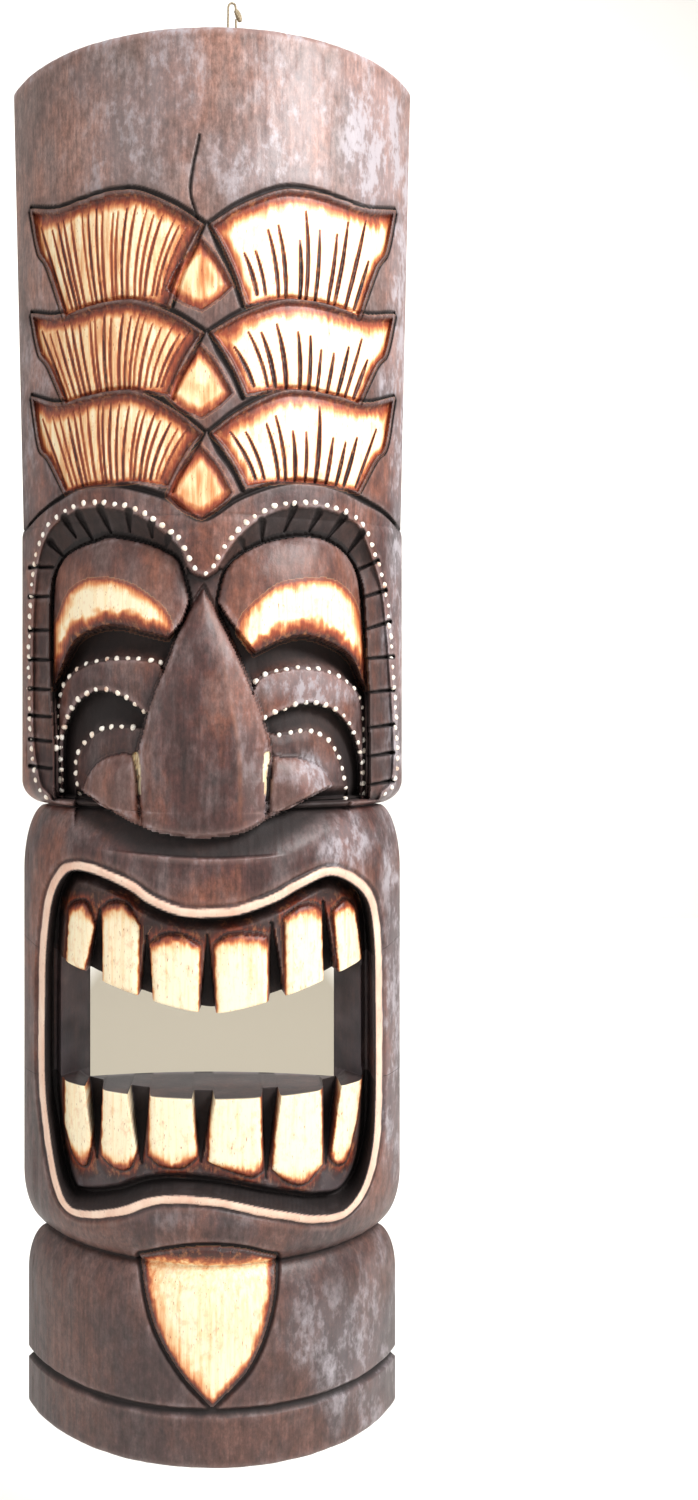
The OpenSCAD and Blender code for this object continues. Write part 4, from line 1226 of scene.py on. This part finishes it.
# ---------------------------------------------------------------- operators

# Middle of the ring's top wire, which the twine goes under, in metres. The rest is in
# millimetres from there: half the loop's width, where its bends start, and the knot's middle
RING_TOP = np.array([0.015, -0.012, 0.521])
LEG, TURN, TOP = 3.5, 1.2, 35.5
KNOT = np.array([4.6, 0.0, 29.5])
KNOT_TILT = math.radians(22)

# Camera, in metres and millimetres of lens, level and square to the mask's back
CAMERA_PLACE = (0, -1.026, 0.037)
LENS, SENSOR, SHIFT = 32.33, 36.0, (0.0913, -0.0347)
FLOOR_Z, FLOOR_HALF, FLOOR_FRONT, BACKDROP_Y, BACKDROP_TOP = -0.72, 6, -5, 3.6, 6
# Lamps: name, place, width in metres, watts and the point that each looks at
LAMPS = (("key", (0.95, -0.85, 0.85), 0.6, 27, (0, 0, 0)),
         ("fill", (-1.5, -1.6, 0.5), 1.6, 7, (0, 0, 0)),
         ("back", (0.0, 1.5, 1.9), 1.8, 70, (0.3, 3.2, -0.2)))
DAYLIGHT = 0.66


def twine_route():
    """Up the right side from the knot's foot, under the ring's wire, up the left side, and
    over the nail into the knot's top. The legs draw together towards the nail."""
    bend = [(3.2, -0.1), (2.5, -1.3), (1.3, -2), (0, -2.3), (-1.3, -2), (-2.5, -1.3), (-3.2, -0.1)]
    route = [(LEG, z) for z in (27, 23, 19, 15, 11, 7, 3, TURN)] + bend
    route += [(-LEG, z) for z in (TURN, 3, 7, 11, 15, 19, 23, 27, 31, 34, TOP)]
    route += [(x, TOP + TURN - z) for x, z in bend[::-1]] + [(LEG, TOP), (LEG, TOP - 2)]
    x, z = np.array(route).T
    x = x * (1 - 0.2 * smooth(z / TOP))
    return RING_TOP + np.stack([x, 0 * x, z], -1) / 1000


class TIKI_OT_stage(bpy.types.Operator):
    """Camera, soft studio light, pale floor and backdrop"""
    bl_idname = "tiki.stage"
    bl_label = "Stage"

    def execute(self, context):
        scene = context.scene
        lens = bpy.data.cameras.new("camera")
        lens.lens, lens.sensor_width = LENS, SENSOR
        lens.shift_x, lens.shift_y = SHIFT
        camera = bpy.data.objects.new("camera", lens)
        camera.location = CAMERA_PLACE
        camera.rotation_euler = (math.pi / 2, 0, 0)
        scene.collection.objects.link(camera)
        scene.camera = camera
        scene.view_settings.view_transform = "Standard"
        front, back = (((-FLOOR_HALF, y, FLOOR_Z), (FLOOR_HALF, y, FLOOR_Z))
                       for y in (FLOOR_FRONT, BACKDROP_Y))
        top = tuple((x, y, BACKDROP_TOP) for x, y, _ in back)
        paper = finish_of("backdrop", "#f4f1ec", 0.9)[0]
        # The floor's material carries a painted shadow behind the mask.
        for name, low, high, material in (("floor", front, back, shaded_floor()),
                                          ("backdrop", back, top, paper)):
            put_mesh(name, low + high[::-1], [(0, 1, 2, 3)], material)
        for name, place, size, power, aim in LAMPS:
            lamp = bpy.data.lights.new(name, "AREA")
            lamp.size, lamp.energy = size, power
            light = bpy.data.objects.new(name, lamp)
            light.location = place
            way = [b - a for a, b in zip(place, aim)]
            light.rotation_euler = (math.acos(-way[2] / math.hypot(*way)), 0,
                                    math.atan2(way[1], way[0]) - math.pi / 2)
            scene.collection.objects.link(light)
        world = bpy.data.worlds.new("soft light")
        world.use_nodes = True
        sky = world.node_tree.nodes["Background"].inputs
        sky["Color"].default_value = (1, 1, 1, 1)
        sky["Strength"].default_value = DAYLIGHT
        scene.world = world
        return {"FINISHED"}


class TIKI_OT_twine(bpy.types.Operator):
    """Hanging twine, its knot and the fibres that stand out of it"""
    bl_idname = "tiki.twine"
    bl_label = "Twine"

    def execute(self, context):
        sizes = settings()[0]
        material = material_for("natural_hemp", hemp_twine)
        route = twine_route()
        runs = np.concatenate([[0], np.cumsum(np.linalg.norm(np.diff(route, axis=0), axis=1))])
        s = np.linspace(0, runs[-1], 260)
        path = np.stack([np.interp(s, runs, route[:, k]) for k in range(3)], -1)
        loop = laid_tube("twine_loop_laid", path, sizes.twine / 2, 3, 0.0042, 24, material)
        knot = tie_knot(sizes.twine, material)
        for piece, node in ((loop, "twine_loop"), (knot, "twine_knot")):
            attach(piece, "hanger")
            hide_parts(node)
        return {"FINISHED"}


def tie_knot(twine, material):
    """Knot: a barrel whose radius is a power of one minus its squared height, ridged where
    the twine's turns lie side by side. A ridge has climbed to the next one when it has gone
    round once. Loose fibres, each a thin spike, hang out of it."""
    spokes, rings = 40, 90
    angle = np.arange(spokes) * 2 * math.pi / spokes
    up = np.cos(np.linspace(math.pi, 0, rings + 2)[1:-1])[:, None]
    length, turns = 0.0049, 3 / 1.15      # half its height, and ridges in that half
    ridge = np.abs(np.sin(math.pi * turns * up + angle / 2))
    reach = 1.45 * twine * (1 - up**2) ** 0.3 * (0.78 + 0.22 * ridge**0.7)
    reach = reach * (1 + 0.07 * np.cos(3 * angle + 2 * up))
    level = np.broadcast_to(length * up, reach.shape)
    verts = np.stack([reach * np.cos(angle), reach * np.sin(angle), level], -1)
    verts = np.concatenate([verts.reshape(-1, 3), [[0, 0, -length], [0, 0, length]]])
    index = np.arange(rings * spokes).reshape(rings, spokes)
    turned = np.roll(index, -1, axis=1)
    faces = np.stack([index[:-1], turned[:-1], turned[1:], index[1:]], -1).reshape(-1, 4).tolist()
    foot, head = rings * spokes, rings * spokes + 1
    faces += np.stack([turned[0], index[0], np.full(spokes, foot)], -1).tolist()
    faces += np.stack([index[-1], turned[-1], np.full(spokes, head)], -1).tolist()
    rng, count = np.random.default_rng(17), 26
    root = np.stack([rng.uniform(-0.001, 0.001, count), rng.uniform(-0.001, 0.001, count),
                     rng.uniform(-0.0045, 0.001, count)], -1)
    way = np.stack([rng.normal(0, 1, count), rng.normal(0, 0.5, count),
                    -np.abs(rng.normal(1.2, 0.8, count)) - 0.1], -1)
    way *= rng.uniform(0.0012, 0.0028, (count, 1)) / np.linalg.norm(way, axis=1, keepdims=True)
    corners = 0.00011 * np.array([[1, 0, 0], [-0.5, 0.87, 0], [-0.5, -0.87, 0]])
    hairs = np.concatenate([root[:, None] + corners, (root + way)[:, None]], 1).reshape(-1, 3)
    sides = np.array([[0, 1, 2], [0, 3, 1], [1, 3, 2], [2, 3, 0]])
    sides = len(verts) + sides + 4 * np.arange(count)[:, None, None]
    faces += sides.reshape(-1, 3).tolist()
    verts = np.concatenate([verts, hairs])
    c, s = math.cos(KNOT_TILT), math.sin(KNOT_TILT)
    verts = verts @ np.array([[c, 0, s], [0, 1, 0], [-s, 0, c]])
    return put_mesh("twine_knot_laid", verts + RING_TOP + KNOT / 1000, faces, material)


class TIKI_OT_screw_eye(bpy.types.Operator):
    """Zinc finish of the screw eye"""
    bl_idname = "tiki.screw_eye"
    bl_label = "Screw eye"

    def execute(self, context):
        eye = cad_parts.get("screw_eye")
        if eye is None:
            raise RuntimeError("the frame has no screw_eye node")
        material = material_for("bright_zinc_plate", zinc_steel)
        if not eye.material_slots:
            eye.data.materials.append(material)
        for slot in eye.material_slots:
            slot.material = material
        return {"FINISHED"}


LOG = {}


def carved():
    """The carved grid, worked out once."""
    if "log" not in LOG:
        LOG["log"] = Log(settings()[0].grid)
    return LOG["log"]


class TIKI_OT_log(bpy.types.Operator):
    """Carved half log, in closed slices that meet at level cuts"""
    bl_idname = "tiki.log"
    bl_label = "Carved log"

    def execute(self, context):
        log = carved()
        material = material_for("dark_stained_albesia", stained_wood, palette())
        sawn = material_for("sawn_albesia", sawn_wood, palette())
        names = ("chin_and_foot", "lower_jaw", "upper_jaw", "eyes_and_nose", "feather_crown",
                 "crown_top")
        for name, first, last in zip(names, log.seams, log.seams[1:]):
            piece = log_piece(log, "carved_" + name, first, last, material, sawn)
            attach(piece, "mask")
            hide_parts("carved_log")
        return {"FINISHED"}


class TIKI_OT_beads(bpy.types.Operator):
    """Beads of white paint round the brow and along the folds of the cheeks"""
    bl_idname = "tiki.beads"
    bl_label = "Paint beads"

    def execute(self, context):
        sizes = settings()[0]
        material = material_for("white_acrylic_paint", white_paint)
        log = carved()
        groups = (("brow_dots", (BROW_DOTS_LEFT, BROW_DOTS_RIGHT)),
                  ("left_cheek_dots", (ARC_A_LEFT, ARC_B_LEFT, ARC_C_LEFT)),
                  ("right_cheek_dots", (ARC_A_RIGHT, ARC_B_RIGHT, ARC_C_RIGHT)))
        for seed, (node, lines) in enumerate(groups):
            spots = np.vstack([along(line, sizes.bead_gap) for line in lines])
            beads = paint_beads(log, node + "_painted", spots, sizes.bead, seed + 3, material)
            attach(beads, "mask")
            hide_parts(node)
        return {"FINISHED"}


class TIKI_PT_panel(bpy.types.Panel):
    """Sizes, colours and pieces of the mask"""
    bl_idname = "TIKI_PT_panel"
    bl_label = "Tiki mask"
    bl_space_type = "VIEW_3D"
    bl_region_type = "UI"
    bl_category = "Tiki mask"

    def draw(self, context):
        for group in settings():
            column = self.layout.column()
            for key in type(group).__annotations__:
                column.prop(group, key)
        for operator in PIECES:
            self.layout.operator(operator.bl_idname)


PIECES = (TIKI_OT_stage, TIKI_OT_twine, TIKI_OT_log, TIKI_OT_beads, TIKI_OT_screw_eye)
CLASSES = (TikiSizes, TikiColours, TIKI_PT_panel) + PIECES


def register():
    """Registers the classes and puts the settings on the scene."""
    for item in CLASSES:
        bpy.utils.register_class(item)
    bpy.types.Scene.tiki_sizes = bpy.props.PointerProperty(type=TikiSizes)
    bpy.types.Scene.tiki_colours = bpy.props.PointerProperty(type=TikiColours)


def unregister():
    """Takes the settings and the classes away again."""
    del bpy.types.Scene.tiki_sizes
    del bpy.types.Scene.tiki_colours
    for item in reversed(CLASSES):
        bpy.utils.unregister_class(item)


def main():
    """Registers the add-on and builds every piece."""
    register()
    for operator in PIECES:
        group, name = operator.bl_idname.split(".")
        getattr(getattr(bpy.ops, group), name)()


if __name__ == "__main__":
    main()
